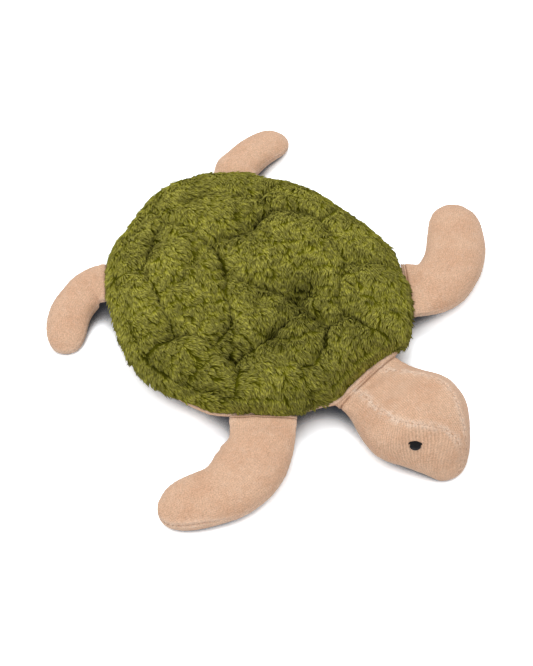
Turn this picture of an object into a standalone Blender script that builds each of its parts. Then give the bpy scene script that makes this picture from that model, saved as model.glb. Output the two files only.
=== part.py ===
"""Plush sea turtle, a soft toy that lies on its belly.

Every fabric panel is a thin bowl of its own, sewn edge to edge with its neighbours round a filling:
a quilted domed cover and a belly panel with a rolled welt between them, three panels round the head
and an upper and a lower panel round each flipper. Head and flippers have round roots that turn on
the line where they are sewn to the rim of the body.

Units are metres. The head points along -Y, the turtle's right side is at -X and Z is up. The origin
is the middle of the flat patch of the belly that the toy rests on.
"""
import math

import bmesh
import bpy
from mathutils import Matrix, Vector
from mathutils.geometry import delaunay_2d_cdt

# Body: the oval seam line seen from above, and the heights of its two halves
BODY_HALF_WIDTH = 0.108
BODY_HALF_LENGTH = 0.1195
OVAL_EXPONENT = 2.2
TAIL_NARROWING_SHARE = 0.05
SEAM_HEIGHT = 0.020
DOME_HEIGHT = 0.031
DOME_EXPONENT = 2.25
BELLY_EXPONENT = 3.0
BELLY_CLIMB_EXPONENT = 1.6
BELLY_FLAT_DEPTH = 0.0005
FLIPPER_FLAT_DEPTH = 0.0055
NECK_FLAT_DEPTH = 0.0012
BODY_POINTS_AROUND = 36
BODY_LEVELS = 5
OVAL_STEPS = 3600
HEAD_DIRECTION = -90.0

# Fabrics, their seams and the slits between touching pieces
PLUSH_THICKNESS = 0.0070
VELOUR_THICKNESS = 0.0026
SEAM_GAP = 0.0003
STUFFING_GAP = 0.0005
WELT_RADIUS = 0.0021
WELT_POINTS = 64

# Quilting of the shell cover: valleys along the seams, puffs between them, hollows and swells
QUILT_VALLEY_DEPTH = 0.0042
QUILT_VALLEY_HALF_WIDTH = 0.0034
QUILT_PUFF = 0.0050
QUILT_PUFF_REACH = 0.011
QUILT_PUFF_LEVEL_SHARE = 0.30
QUILT_LEAST_THICKNESS = 0.0012
QUILT_SHOULDER = 0.0085
QUILT_STEP = 0.010
QUILT_GRID_STEP = 0.0125
SWELL_HEIGHT = 0.0016
SWELL_RADIUS = 0.016
HOLLOW_DEPTH = 0.0040
HOLLOW_RADIUS = 0.012
RIM_POINTS = 64
RIM_WALL_HEIGHT = 0.0046
RIM_LIP_HEIGHT = 0.0085
RIM_LIP_REACH = 0.0056
RIM_LIP_LEAN = 0.0014
RIM_LIP_TURN = -25.0
RIM_LIP_LIMB_SHARE = 0.55
RIM_LIP_LIMB_ANGLES = (16.0, 26.0)
RIM_ROUND_SHARE = 0.955
RIM_BAND_SHARE = 0.885
SEAM_END_SHARE = 0.845
RIM_RELIEF_SHARE = 0.16

# Quilt seams as shares of the half width and the half length, minus along for the head end
QUILT_SEAM_SHARES = (
    ((-0.67, 0.70), (-0.50, 0.60), (-0.37, 0.64), (-0.23, 0.72), (-0.09, 0.74), (-0.03, 0.88)),
    ((-0.50, 0.60), (-0.58, 0.41), (-0.64, 0.28), (-0.74, 0.13), (-0.78, 0.06)),
    ((-0.88, 0.10), (-0.78, 0.06), (-0.69, -0.04), (-0.65, -0.18), (-0.55, -0.19), (-0.42, -0.18)),
    ((-0.65, -0.18), (-0.64, -0.34), (-0.69, -0.44), (-0.78, -0.49)),
    ((-0.09, 0.74), (0.00, 0.62), (-0.04, 0.47), (-0.04, 0.37)),
    ((-0.04, 0.37), (0.12, 0.31), (0.28, 0.26), (0.43, 0.28), (0.54, 0.28)),
    ((0.15, 0.78), (0.36, 0.72), (0.48, 0.56), (0.58, 0.42), (0.54, 0.28)),
    ((0.58, 0.42), (0.80, 0.47)),
    ((-0.04, 0.37), (-0.09, 0.22), (-0.16, 0.10), (-0.28, 0.02), (-0.42, -0.18)),
    ((0.54, 0.28), (0.68, 0.15), (0.71, 0.00), (0.67, -0.14), (0.60, -0.29), (0.56, -0.38)),
    ((0.71, 0.00), (0.89, 0.02)),
    ((0.56, -0.38), (0.42, -0.43), (0.28, -0.52), (0.20, -0.66)),
    ((-0.64, -0.34), (-0.53, -0.38), (-0.41, -0.41), (-0.26, -0.42), (-0.11, -0.42), (0.03, -0.45)),
    ((-0.16, 0.10), (-0.04, -0.14), (0.03, -0.31), (0.03, -0.45), (0.03, -0.62), (0.20, -0.66)),
    ((0.20, -0.66), (0.28, -0.86)),
    ((-0.45, -0.83), (-0.39, -0.70), (-0.26, -0.75), (-0.09, -0.71), (0.03, -0.62)),
    ((0.56, -0.38), (0.73, -0.54)),
)

# Hollows, with the share of the full depth that each has, and swells between the seams
QUILT_HOLLOW_SHARES = (
    (-0.26, 0.34, 1.0),
    (-0.14, 0.15, 1.0),
    (-0.12, -0.17, 0.8),
    (0.07, -0.34, 1.1),
    (0.06, -0.55, 1.0),
    (-0.30, -0.45, 1.0),
    (-0.56, -0.36, 0.8),
    (-0.45, 0.02, 0.9),
    (-0.31, 0.68, 0.7),
    (0.18, -0.38, 0.8),
    (0.45, -0.70, 0.7),
)
QUILT_SWELL_SHARES = (
    (-0.19, 0.55), (-0.40, 0.79), (-0.72, 0.47), (0.32, 0.53), (0.43, 0.11),
    (0.54, -0.20), (0.55, -0.60), (-0.30, -0.27), (-0.35, -0.67), (-0.83, -0.13),
    (-0.61, -0.61), (-0.34, 0.18), (0.08, -0.79),
)

# Flippers: where a root is sewn on is the angle of the rim's outward direction, from the X axis
FLIPPER_ROOT_RADIUS = 0.005
FLIPPER_POINTS_AROUND = 12
FLIPPER_EXPONENT = 2.2
LIMB_FLOOR_GAP = 0.0008
FRONT_FLIPPER_LENGTH = 0.120
FRONT_FLIPPER_WIDTH = 0.051
FRONT_FLIPPER_THICKNESS = 0.027
FRONT_ROOT_ANGLE = 42.0
REAR_FLIPPER_LENGTH = 0.073
REAR_FLIPPER_WIDTH = 0.0355
REAR_FLIPPER_THICKNESS = 0.021
REAR_ROOT_ANGLE = 44.5

# Head
HEAD_LENGTH = 0.0953
HEAD_WIDTH = 0.0865
HEAD_HEIGHT = 0.0435
NECK_ROOT_RADIUS = 0.0075
NECK_OFFSET = 0.0038
HEAD_EXPONENT = 2.2
HEAD_SIDE_POINTS = 8
HEAD_CROWN_POINTS = 4
EYE_LENGTH = 0.0095
EYE_WIDTH = 0.0072
EYE_THICKNESS = 0.0014
EYE_SEGMENTS = 14
EYE_RINGS = 6
EYE_STEP_SHARE = 0.01
EYE_STEP_ANGLE = 2.0

# Stations along a flipper: share of its length, of its width and of its thickness
FLIPPER_STATION_SHARES = (
    (0.00, 1.00, None),
    (0.08, 0.98, 0.62),
    (0.18, 0.95, 0.88),
    (0.32, 0.93, 1.00),
    (0.48, 0.93, 0.98),
    (0.63, 0.91, 0.86),
    (0.76, 0.85, 0.72),
    (0.87, 0.72, 0.58),
    (0.945, 0.53, 0.44),
    (0.985, 0.31, 0.27),
    (1.00, 0.13, 0.12),
)

# Stations along the head: share of its length, of its width and of its height, the two upper seam
# angles from straight up, right and left, and the sideways turn of the head there, in degrees
HEAD_STATION_SHARES = (
    (0.00, 0.740, None, 25.0, -27.0, -2.1),
    (0.07, 0.765, 0.560, 28.0, -32.0, -2.1),
    (0.18, 0.860, 0.760, 29.0, -36.0, -2.1),
    (0.31, 0.960, 0.930, 29.0, -39.0, -2.1),
    (0.44, 1.000, 1.000, 27.0, -41.0, -3.5),
    (0.56, 0.931, 0.990, 20.0, -41.0, -7.3),
    (0.68, 0.766, 0.900, 5.0, -41.0, -11.8),
    (0.79, 0.590, 0.760, -15.0, -44.0, -15.4),
    (0.885, 0.420, 0.590, -26.0, -50.0, -17.3),
    (0.95, 0.277, 0.420, -30.0, -55.0, -17.5),
    (0.985, 0.156, 0.260, -32.0, -57.0, -17.5),
    (1.00, 0.063, 0.110, -32.0, -57.0, -17.5),
)
HEAD_LOWER_SEAM_ANGLE = 180.0
RIGHT_EYE_STATION_SHARE = 0.71
RIGHT_EYE_ANGLE = 38.0
LEFT_EYE_STATION_SHARE = 0.71
LEFT_EYE_ANGLE = -86.0

# Round noses at the roots: angles of the rings that close them, in degrees
ROOT_NOSE_ANGLES = (80.0, 55.0, 28.0)
# Smallest half size of a closing ring, and how soon a limb sinks from its seam to the floor
LEAST_HALF = 0.0004
ROOT_DROOP_SHARE = 0.34
TIP_DRAW_EXPONENT = 3.0
TIP_LEVEL_SHARE = 0.21
# How each flipper lies: turn soon after its root, further turn along it, and the share of its
# length that the further turn takes, the angles in degrees
ROOT_TURN_SPAN_SHARE = 0.30
FRONT_SWEEP_SPAN_SHARE = 0.72
REAR_SWEEP_SPAN_SHARE = 0.85
FRONT_RIGHT_TURN = 5.0
FRONT_RIGHT_SWEEP = -76.0
FRONT_LEFT_TURN = 31.0
FRONT_LEFT_SWEEP = 53.0
REAR_RIGHT_TURN = 37.0
REAR_RIGHT_SWEEP = 50.0
REAR_LEFT_TURN = -31.0
REAR_LEFT_SWEEP = -22.0
STEPS_PER_STATION = 8

# Colour and roughness of each material
FABRICS = {
    "olive plush": ((0.140, 0.130, 0.022), 0.95),
    "beige velour": ((0.680, 0.430, 0.270), 0.85),
    "white filling": ((0.850, 0.850, 0.830), 0.95),
    "black thread": ((0.012, 0.012, 0.013), 0.60),
}


def clear_scene():
    for old in list(bpy.data.objects):
        bpy.data.objects.remove(old, do_unlink=True)


def make_collection(name):
    collection = bpy.data.collections.new(name)
    bpy.context.scene.collection.children.link(collection)
    return collection


def make_material(name, colour, roughness):
    material = bpy.data.materials.new(name)
    material.use_nodes = True
    shader = material.node_tree.nodes["Principled BSDF"]
    shader.inputs["Base Color"].default_value = (*colour, 1.0)
    shader.inputs["Roughness"].default_value = roughness
    shader.inputs["Metallic"].default_value = 0.0
    return material


def add_object(name, mesh, collection, fabric):
    """Add one sub-part, with a material of its own."""
    piece = bpy.data.objects.new(name, mesh)
    colour, roughness = FABRICS[fabric]
    mesh.materials.clear()
    mesh.materials.append(make_material(name + " " + fabric, colour, roughness))
    collection.objects.link(piece)
    return piece


def add_cutter(name, mesh):
    cutter = bpy.data.objects.new(name, mesh)
    CUTTERS.objects.link(cutter)
    cutter.hide_render = True
    cutter.display_type = "WIRE"
    return cutter


def cut(piece, cutter):
    modifier = piece.modifiers.new("hollow", "BOOLEAN")
    modifier.operation = "DIFFERENCE"
    modifier.solver = "EXACT"
    modifier.object = cutter


def limb_directions():
    """Outward directions, in degrees, in which the rim runs straight to take a limb."""
    return (
        HEAD_DIRECTION,
        180.0 + FRONT_ROOT_ANGLE,
        -FRONT_ROOT_ANGLE,
        180.0 - REAR_ROOT_ANGLE,
        REAR_ROOT_ANGLE,
    )


def oval_point(angle, grow):
    """Point of the plain oval at a parameter angle, before the limbs' straight stretches."""
    power = 1.0 / OVAL_EXPONENT
    across = math.copysign(abs(math.cos(angle)) ** (2.0 * power), math.cos(angle))
    along = math.copysign(abs(math.sin(angle)) ** (2.0 * power), math.sin(angle))
    half_width = BODY_HALF_WIDTH * (1.0 - TAIL_NARROWING_SHARE * along) + grow
    return Vector((half_width * across, (BODY_HALF_LENGTH + grow) * along, 0.0))


def chord_touch(direction):
    """Where the oval's own rim is square to a direction: the middle of a limb's root."""
    outward = heading_vector(direction)
    points = [oval_point(2.0 * math.pi * i / OVAL_STEPS, 0.0) for i in range(OVAL_STEPS)]
    return max(points, key=lambda point: point.dot(outward))


def chord_distance(direction):
    """How far the straight stretch for a limb lies from the middle of the body."""
    depth = NECK_FLAT_DEPTH if direction == HEAD_DIRECTION else FLIPPER_FLAT_DEPTH
    return chord_touch(direction).dot(heading_vector(direction)) - depth


def rim_point(angle, grow=0.0, share=1.0):
    """Point of the body's outline at a parameter angle, pulled straight where a limb is sewn on."""
    point = oval_point(angle, grow)
    for direction in CHORDS:
        reach = point.dot(heading_vector(direction))
        limit = CHORDS[direction] + grow
        if reach > limit:
            point = point * (limit / reach)
    return point * share


def dome_height(share, grow=0.0):
    """Height of the shell over the seam at a share of the way from the middle to the rim."""
    inside = max(0.0, 1.0 - share ** DOME_EXPONENT)
    return (DOME_HEIGHT + grow) * inside ** (1.0 / DOME_EXPONENT)


def belly_share(height, grow=0.0):
    """Share of the outline that the belly has at a height over the floor."""
    depth = SEAM_HEIGHT + BELLY_FLAT_DEPTH + grow
    drop = min(1.0, max(0.0, (SEAM_HEIGHT - height) / depth))
    return (1.0 - drop ** BELLY_EXPONENT) ** (1.0 / BELLY_EXPONENT)


def link_rings(bm, rings):
    """Skin a row of rings of equal counts. The last column's diagonals are turned round, so that
    two panels that share a seam are split the same way along it."""
    rows = [[bm.verts.new(point) for point in ring] for ring in rings]
    count = len(rows[0])
    for near, far in zip(rows, rows[1:]):
        for i in range(count):
            j = (i + 1) % count
            if j:
                bm.faces.new((near[i], near[j], far[j]))
                bm.faces.new((near[i], far[j], far[i]))
            else:
                bm.faces.new((near[i], near[j], far[i]))
                bm.faces.new((near[j], far[j], far[i]))
    bm.faces.new(list(reversed(rows[0])))
    bm.faces.new(rows[-1])


def ring_mesh(name, rings):
    bm = bmesh.new()
    link_rings(bm, rings)
    bmesh.ops.recalc_face_normals(bm, faces=bm.faces)
    mesh = bpy.data.meshes.new(name)
    bm.to_mesh(mesh)
    bm.free()
    for polygon in mesh.polygons:
        polygon.use_smooth = True
    return mesh


def body_ring(share, height, grow=0.0):
    ring = []
    for i in range(BODY_POINTS_AROUND):
        point = rim_point(2.0 * math.pi * i / BODY_POINTS_AROUND, grow, share)
        ring.append(Vector((point.x, point.y, height)))
    return ring


def upper_rings(grow):
    """Rings of the body's upper half, from the seam to just below the crown."""
    rings = []
    for level in range(BODY_LEVELS):
        share = math.cos(math.radians(90.0 * level / BODY_LEVELS))
        rings.append(body_ring(share, SEAM_HEIGHT + dome_height(share, grow), grow))
    crown_share = math.cos(math.radians(90.0 * (BODY_LEVELS - 1) / BODY_LEVELS)) / BODY_LEVELS
    rings.append(body_ring(crown_share, SEAM_HEIGHT + dome_height(crown_share, grow), grow))
    return rings


def lower_rings(floor, grow):
    """Rings of the body's lower half, from the flat patch up to the seam."""
    rings = []
    for level in range(BODY_LEVELS):
        climb = math.sin(math.radians(90.0 * level / BODY_LEVELS)) ** BELLY_CLIMB_EXPONENT
        height = floor + (SEAM_HEIGHT - floor) * climb
        rings.append(body_ring(belly_share(height, grow), height, grow))
    return rings


def body_filling_mesh(name, slack=0.0):
    """The inside of the body, drawn in by the fabrics' thicknesses and a slack."""
    lower = lower_rings(VELOUR_THICKNESS + slack, -VELOUR_THICKNESS - slack)
    upper = upper_rings(-PLUSH_THICKNESS - slack)
    return ring_mesh(name, lower + upper)


def make_belly_panel():
    seam = body_ring(1.0, SEAM_HEIGHT - SEAM_GAP / 2.0)
    rings = lower_rings(0.0, 0.0) + [seam]
    piece = add_object("belly_panel", ring_mesh("belly_panel", rings), PARTS, "beige velour")
    cut(piece, add_cutter("belly_hollow", body_filling_mesh("belly_hollow")))
    return piece


def quilt_place(across, along):
    """Real place in plan of a point given as shares of the half width and half length."""
    return Vector((BODY_HALF_WIDTH * across, BODY_HALF_LENGTH * along))


def rim_share(place):
    """Share of the way from the middle of the body to its outline, for a place in plan."""
    angle = math.atan2(place.y / BODY_HALF_LENGTH, place.x / BODY_HALF_WIDTH)
    across = math.copysign(abs(math.cos(angle)) ** (OVAL_EXPONENT / 2.0), math.cos(angle))
    along = math.copysign(abs(math.sin(angle)) ** (OVAL_EXPONENT / 2.0), math.sin(angle))
    edge = rim_point(math.atan2(along, across))
    return place.length / edge.xy.length


def seam_distance(place):
    """Distance in plan from a place to the nearest quilt seam."""
    nearest = BODY_HALF_LENGTH
    for line in QUILT_SEAM_SHARES:
        points = [quilt_place(*point) for point in line]
        for first, last in zip(points, points[1:]):
            span = last - first
            part = min(1.0, max(0.0, (place - first).dot(span) / span.length_squared))
            nearest = min(nearest, (place - first - span * part).length)
    return nearest


def bump(place, across, along, radius):
    gap = (place - quilt_place(across, along)).length
    return math.exp(-((gap / radius) ** 2.0))


def cover_height(place):
    """Height of the quilted cover over a place in plan."""
    share = min(1.0, rim_share(place))
    gap = seam_distance(place)
    puff = 1.0 - math.exp(-((gap / QUILT_PUFF_REACH) ** 1.3)) - QUILT_PUFF_LEVEL_SHARE
    valley = math.exp(-((gap / QUILT_VALLEY_HALF_WIDTH) ** 1.4))
    swell = sum(bump(place, *spot, SWELL_RADIUS) for spot in QUILT_SWELL_SHARES)
    hollow = sum(part * bump(place, u, v, HOLLOW_RADIUS) for u, v, part in QUILT_HOLLOW_SHARES)
    relief = QUILT_PUFF * puff - QUILT_VALLEY_DEPTH * valley + SWELL_HEIGHT * swell
    relief = max(relief - HOLLOW_DEPTH * hollow, QUILT_LEAST_THICKNESS - PLUSH_THICKNESS)
    return SEAM_HEIGHT + dome_height(share) + relief * smooth_step((1.0 - share) / RIM_RELIEF_SHARE)


def lip_reach(outward):
    """How far the cover bulges over the rim in a direction: less where a limb is sewn on."""
    lean = math.cos(math.atan2(outward.y, outward.x) - math.radians(RIM_LIP_TURN))
    facing = min(math.degrees(outward.angle(heading_vector(direction))) for direction in CHORDS)
    near, clear = RIM_LIP_LIMB_ANGLES
    drawn_in = RIM_LIP_LIMB_SHARE * (1.0 - smooth_step((facing - near) / (clear - near)))
    return (RIM_LIP_REACH + RIM_LIP_LEAN * lean) * (1.0 - drawn_in)


def seam_points():
    """Points along the quilt seams, with the pairs that each seam joins."""
    points, pairs = [], []
    for line in QUILT_SEAM_SHARES:
        places = [quilt_place(*point) for point in line]
        row = [places[0]]
        for first, last in zip(places, places[1:]):
            count = max(1, round((last - first).length / QUILT_STEP))
            row += [first.lerp(last, (i + 1) / count) for i in range(count)]
        row = [place * min(1.0, SEAM_END_SHARE / max(rim_share(place), 0.1)) for place in row]
        start = len(points)
        points += row
        pairs += [(start + i, start + i + 1) for i in range(len(row) - 1)]
    return points, pairs


def shoulder_points(seams, pairs):
    """Points beside the seams, where the puffs begin."""
    points = []
    for first, last in pairs:
        middle = (seams[first] + seams[last]) / 2.0
        span = (seams[last] - seams[first]).normalized()
        for side in (-1.0, 1.0):
            place = middle + Vector((-span.y, span.x)) * side * QUILT_SHOULDER
            if rim_share(place) < RIM_BAND_SHARE and seam_distance(place) > 0.8 * QUILT_SHOULDER:
                if all((place - other).length > 0.6 * QUILT_SHOULDER for other in points):
                    points.append(place)
    return points


def filling_points(taken):
    """A plain grid of points where the scutes are wide."""
    points = []
    rows = math.ceil(BODY_HALF_LENGTH / QUILT_GRID_STEP)
    for i in range(-rows, rows + 1):
        for j in range(-rows, rows + 1):
            place = Vector(((j + 0.5 * (i % 2)) * QUILT_GRID_STEP, i * QUILT_GRID_STEP))
            if rim_share(place) < RIM_BAND_SHARE - 0.04:
                if all((place - other).length > 0.75 * QUILT_SHOULDER for other in taken):
                    points.append(place)
    return points


def quilted_cover_mesh(name):
    """The dome with its quilting: one net of triangles with edges along every seam, and a lip
    that bulges over the rim."""
    angles = [2.0 * math.pi * i / RIM_POINTS for i in range(RIM_POINTS)]
    band = [rim_point(angle, 0.0, RIM_BAND_SHARE).xy for angle in angles]
    seams, pairs = seam_points()
    beside = shoulder_points(seams, pairs)
    places = band + seams + beside + filling_points(seams + beside)
    edges = [(i, (i + 1) % RIM_POINTS) for i in range(RIM_POINTS)]
    edges += [(RIM_POINTS + first, RIM_POINTS + last) for first, last in pairs]
    net = delaunay_2d_cdt(places, edges, [], 1, QUILT_STEP / 20.0)
    bm = bmesh.new()
    verts = [bm.verts.new((place.x, place.y, cover_height(place))) for place in net[0]]
    for face in net[2]:
        bm.faces.new([verts[i] for i in face])
    for vert in [vert for vert in verts if not vert.link_faces]:
        bm.verts.remove(vert)
    inner = {}
    for index, sources in enumerate(net[3]):
        for source in sources:
            if source < RIM_POINTS:
                inner[source] = verts[index]
    rings = [[inner[i] for i in range(RIM_POINTS)]]
    for share, height, reach in (
        (RIM_ROUND_SHARE, dome_height(RIM_ROUND_SHARE), 0.5),
        (1.0, RIM_LIP_HEIGHT, 1.0),
        (1.0, RIM_WALL_HEIGHT + SEAM_GAP, 0.75),
        (1.0, RIM_WALL_HEIGHT, 0.0),
        (1.0, SEAM_GAP / 2.0, 0.0),
    ):
        ring = []
        for angle in angles:
            place = rim_point(angle, 0.0, share)
            outward = place.normalized()
            place = place + outward * reach * lip_reach(outward)
            ring.append(bm.verts.new((place.x, place.y, SEAM_HEIGHT + height)))
        rings.append(ring)
    for near, far in zip(rings, rings[1:]):
        for i in range(RIM_POINTS):
            j = (i + 1) % RIM_POINTS
            bm.faces.new((near[i], near[j], far[j], far[i]))
    bm.faces.new(rings[-1])
    bmesh.ops.recalc_face_normals(bm, faces=bm.faces)
    mesh = bpy.data.meshes.new(name)
    bm.to_mesh(mesh)
    bm.free()
    for polygon in mesh.polygons:
        polygon.use_smooth = True
    return mesh


def make_shell_cover():
    piece = add_object("shell_cover", quilted_cover_mesh("shell_cover"), PARTS, "olive plush")
    cut(piece, add_cutter("cover_hollow", body_filling_mesh("cover_hollow")))
    return piece


def make_body_stuffing():
    mesh = body_filling_mesh("body_stuffing", STUFFING_GAP)
    return add_object("body_stuffing", mesh, PARTS, "white filling")


def make_rim_welt():
    """The rolled seam edge: a closed tube round the rim, outside both panels."""
    data = bpy.data.curves.new("rim_welt", "CURVE")
    data.dimensions = "3D"
    data.bevel_depth = WELT_RADIUS
    data.bevel_resolution = 1
    spline = data.splines.new("POLY")
    spline.points.add(WELT_POINTS - 1)
    for i, slot in enumerate(spline.points):
        point = rim_point(2.0 * math.pi * i / WELT_POINTS, WELT_RADIUS + SEAM_GAP)
        slot.co = (point.x, point.y, SEAM_HEIGHT, 1.0)
    spline.use_cyclic_u = True
    guide = bpy.data.objects.new("rim_welt_guide", data)
    PARTS.objects.link(guide)
    bpy.context.view_layer.update()
    evaluated = guide.evaluated_get(bpy.context.evaluated_depsgraph_get())
    mesh = bpy.data.meshes.new_from_object(evaluated)
    bpy.data.objects.remove(guide, do_unlink=True)
    bpy.data.curves.remove(data)
    mesh.name = "rim_welt"
    return add_object("rim_welt", mesh, PARTS, "beige velour")


class Limb:
    """A soft limb on a hinge line. Its stations lie along a bent middle line, each with its centre,
    its sideways direction, half width and half height."""

    def __init__(self, direction, root_radius, offset=0.0):
        outward = heading_vector(direction)
        sideways = Vector((-outward.y, outward.x, 0.0))
        middle = chord_touch(direction)
        reach = CHORDS[direction] + 2.0 * WELT_RADIUS + 2.0 * SEAM_GAP + root_radius
        self.outward = outward
        self.hinge = outward * reach + sideways * (middle.dot(sideways) + offset)
        self.hinge.z = SEAM_HEIGHT
        self.sideways = sideways
        self.direction = direction
        self.root_radius = root_radius

    def stations(self, length, width, height, rows, turn, floor_gap, grow):
        """Rings from the root's round nose to the tip, all drawn in by -grow."""
        stations = []
        radius = self.root_radius + grow
        root_half_width = width * rows[0][1] / 2.0 + grow
        for angle in ROOT_NOSE_ANGLES:
            nose = math.radians(angle)
            centre = self.hinge - self.outward * (radius * math.sin(nose))
            half_width = root_half_width - radius * (1.0 - math.cos(nose))
            stations.append((centre, self.sideways, half_width, radius * math.cos(nose)))
        place = self.hinge.copy()
        run = 0.0
        for share, width_share, height_share in rows:
            reach = (length + grow * share ** TIP_DRAW_EXPONENT) * share
            stride = (reach - run) / STEPS_PER_STATION
            for step in range(STEPS_PER_STATION):
                part = (run + stride * (step + 0.5)) / length
                place = place + heading_vector(self.direction + turn(part)) * stride
            run = reach
            forward = heading_vector(self.direction + turn(reach / length))
            centre = Vector((place.x, place.y, self.hinge.z))
            half_height = radius
            if height_share is not None:
                full = height * height_share / 2.0
                level = max(full, height * TIP_LEVEL_SHARE) + floor_gap
                sunk = smooth_step(share / ROOT_DROOP_SHARE)
                centre.z += (level - self.hinge.z) * sunk
                half_height = max(full + grow, LEAST_HALF)
            half_width = max(width * width_share / 2.0 + grow, LEAST_HALF)
            side = Vector((-forward.y, forward.x, 0.0))
            stations.append((centre, side, half_width, half_height))
        return stations


def heading_vector(angle):
    turn = math.radians(angle)
    return Vector((math.cos(turn), math.sin(turn), 0.0))


def smooth_step(part):
    part = min(1.0, max(0.0, part))
    return part * part * (3.0 - 2.0 * part)


def oval_offset(side, half_width, half_height, angle, exponent):
    """From a section's centre to its rim, at an angle from straight up and positive to the right
    of whoever looks along the limb."""
    turn = math.radians(angle)
    across = math.copysign(abs(math.sin(turn)) ** (2.0 / exponent), math.sin(turn))
    up = math.copysign(abs(math.cos(turn)) ** (2.0 / exponent), math.cos(turn))
    return Vector((0.0, 0.0, half_height * up)) - side * (half_width * across)


def oval_ring(station, angles, exponent, lift=0.0):
    centre, side, half_width, half_height = station
    raised = centre + Vector((0.0, 0.0, lift))
    tall = half_height - abs(lift)
    return [raised + oval_offset(side, half_width, tall, angle, exponent) for angle in angles]


def full_turn(count):
    return [360.0 * i / count for i in range(count)]


def make_flipper(name, limb, sizes, rows, turn, points):
    """Upper panel, lower panel and filling of one flipper."""
    length, width, thickness = sizes

    def rings(grow, angles, lift=0.0):
        rows_here = limb.stations(length, width, thickness, rows, turn, LIMB_FLOOR_GAP, grow)
        return [oval_ring(station, angles, FLIPPER_EXPONENT, lift) for station in rows_here]

    half = points // 2
    upper = [-90.0 + 180.0 * i / half for i in range(half + 1)]
    lower = [270.0 - 180.0 * i / half for i in range(half + 1)]
    whole = full_turn(points)
    for part, angles, lift in (("top", upper, SEAM_GAP / 2.0), ("bottom", lower, -SEAM_GAP / 2.0)):
        title = name + "_" + part
        mesh = ring_mesh(title, rings(0.0, angles, lift))
        piece = add_object(title, mesh, PARTS, "beige velour")
        cut(piece, add_cutter(title + "_hollow", ring_mesh(title + "_hollow",
                                                           rings(-VELOUR_THICKNESS, whole))))
    title = name + "_stuffing"
    mesh = ring_mesh(title, rings(-VELOUR_THICKNESS - STUFFING_GAP, whole))
    add_object(title, mesh, PARTS, "white filling")


def make_flippers():
    front = (FRONT_FLIPPER_LENGTH, FRONT_FLIPPER_WIDTH, FRONT_FLIPPER_THICKNESS)
    rear = (REAR_FLIPPER_LENGTH, REAR_FLIPPER_WIDTH, REAR_FLIPPER_THICKNESS)
    plans = (
        ("front_right_flipper", 180.0 + FRONT_ROOT_ANGLE, front,
         FRONT_RIGHT_TURN, FRONT_RIGHT_SWEEP, FRONT_SWEEP_SPAN_SHARE),
        ("front_left_flipper", -FRONT_ROOT_ANGLE, front,
         FRONT_LEFT_TURN, FRONT_LEFT_SWEEP, FRONT_SWEEP_SPAN_SHARE),
        ("rear_right_flipper", 180.0 - REAR_ROOT_ANGLE, rear,
         REAR_RIGHT_TURN, REAR_RIGHT_SWEEP, REAR_SWEEP_SPAN_SHARE),
        ("rear_left_flipper", REAR_ROOT_ANGLE, rear,
         REAR_LEFT_TURN, REAR_LEFT_SWEEP, REAR_SWEEP_SPAN_SHARE),
    )
    for name, direction, sizes, root_turn, sweep, span in plans:
        def turn(part, root_turn=root_turn, sweep=sweep, span=span):
            return (root_turn * smooth_step(part / ROOT_TURN_SPAN_SHARE)
                    + sweep * smooth_step(part / span))

        limb = Limb(direction, FLIPPER_ROOT_RADIUS)
        make_flipper(name, limb, sizes, FLIPPER_STATION_SHARES, turn, FLIPPER_POINTS_AROUND)


def between_rows(rows, share, column):
    """Value of a column of a station table at a share of the length."""
    for near, far in zip(rows, rows[1:]):
        if share <= far[0]:
            part = max(0.0, share - near[0]) / (far[0] - near[0])
            return near[column] + (far[column] - near[column]) * part
    return rows[-1][column]


def head_turn(part):
    return between_rows(HEAD_STATION_SHARES, part, 5)


def head_stations(limb, grow=0.0):
    rows = [row[:3] for row in HEAD_STATION_SHARES]
    return limb.stations(HEAD_LENGTH, HEAD_WIDTH, HEAD_HEIGHT, rows, head_turn, LIMB_FLOOR_GAP, grow)


def head_seams():
    """Right, left and lower seam angle at each ring, those of the round nose included."""
    first = HEAD_STATION_SHARES[0]
    rows = [first] * len(ROOT_NOSE_ANGLES) + list(HEAD_STATION_SHARES)
    return [(row[3], row[4], HEAD_LOWER_SEAM_ANGLE) for row in rows]


def wedge_ring(station, start, stop, count):
    """A panel's section: its stretch of the rim and a corner at the section's middle, both seam
    sides drawn in by half a seam gap."""
    centre, side, half_width, half_height = station
    angles = [start + (stop - start) * i / count for i in range(count + 1)]
    arms = [oval_offset(side, half_width, half_height, angle, HEAD_EXPONENT) for angle in angles]
    middle = arms[count // 2].normalized()
    shifts = []
    for arm in (arms[0], arms[-1]):
        along = arm.normalized()
        inward = middle - along * middle.dot(along)
        shifts.append(inward.normalized() * (SEAM_GAP / 2.0))
    arms[0] = arms[0] + shifts[0]
    arms[-1] = arms[-1] + shifts[1]
    opening = arms[0].normalized().angle(middle) + arms[-1].normalized().angle(middle)
    corner = middle * (SEAM_GAP / 2.0 / math.sin(opening / 2.0))
    return [centre + arm for arm in arms] + [centre + corner]


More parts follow.
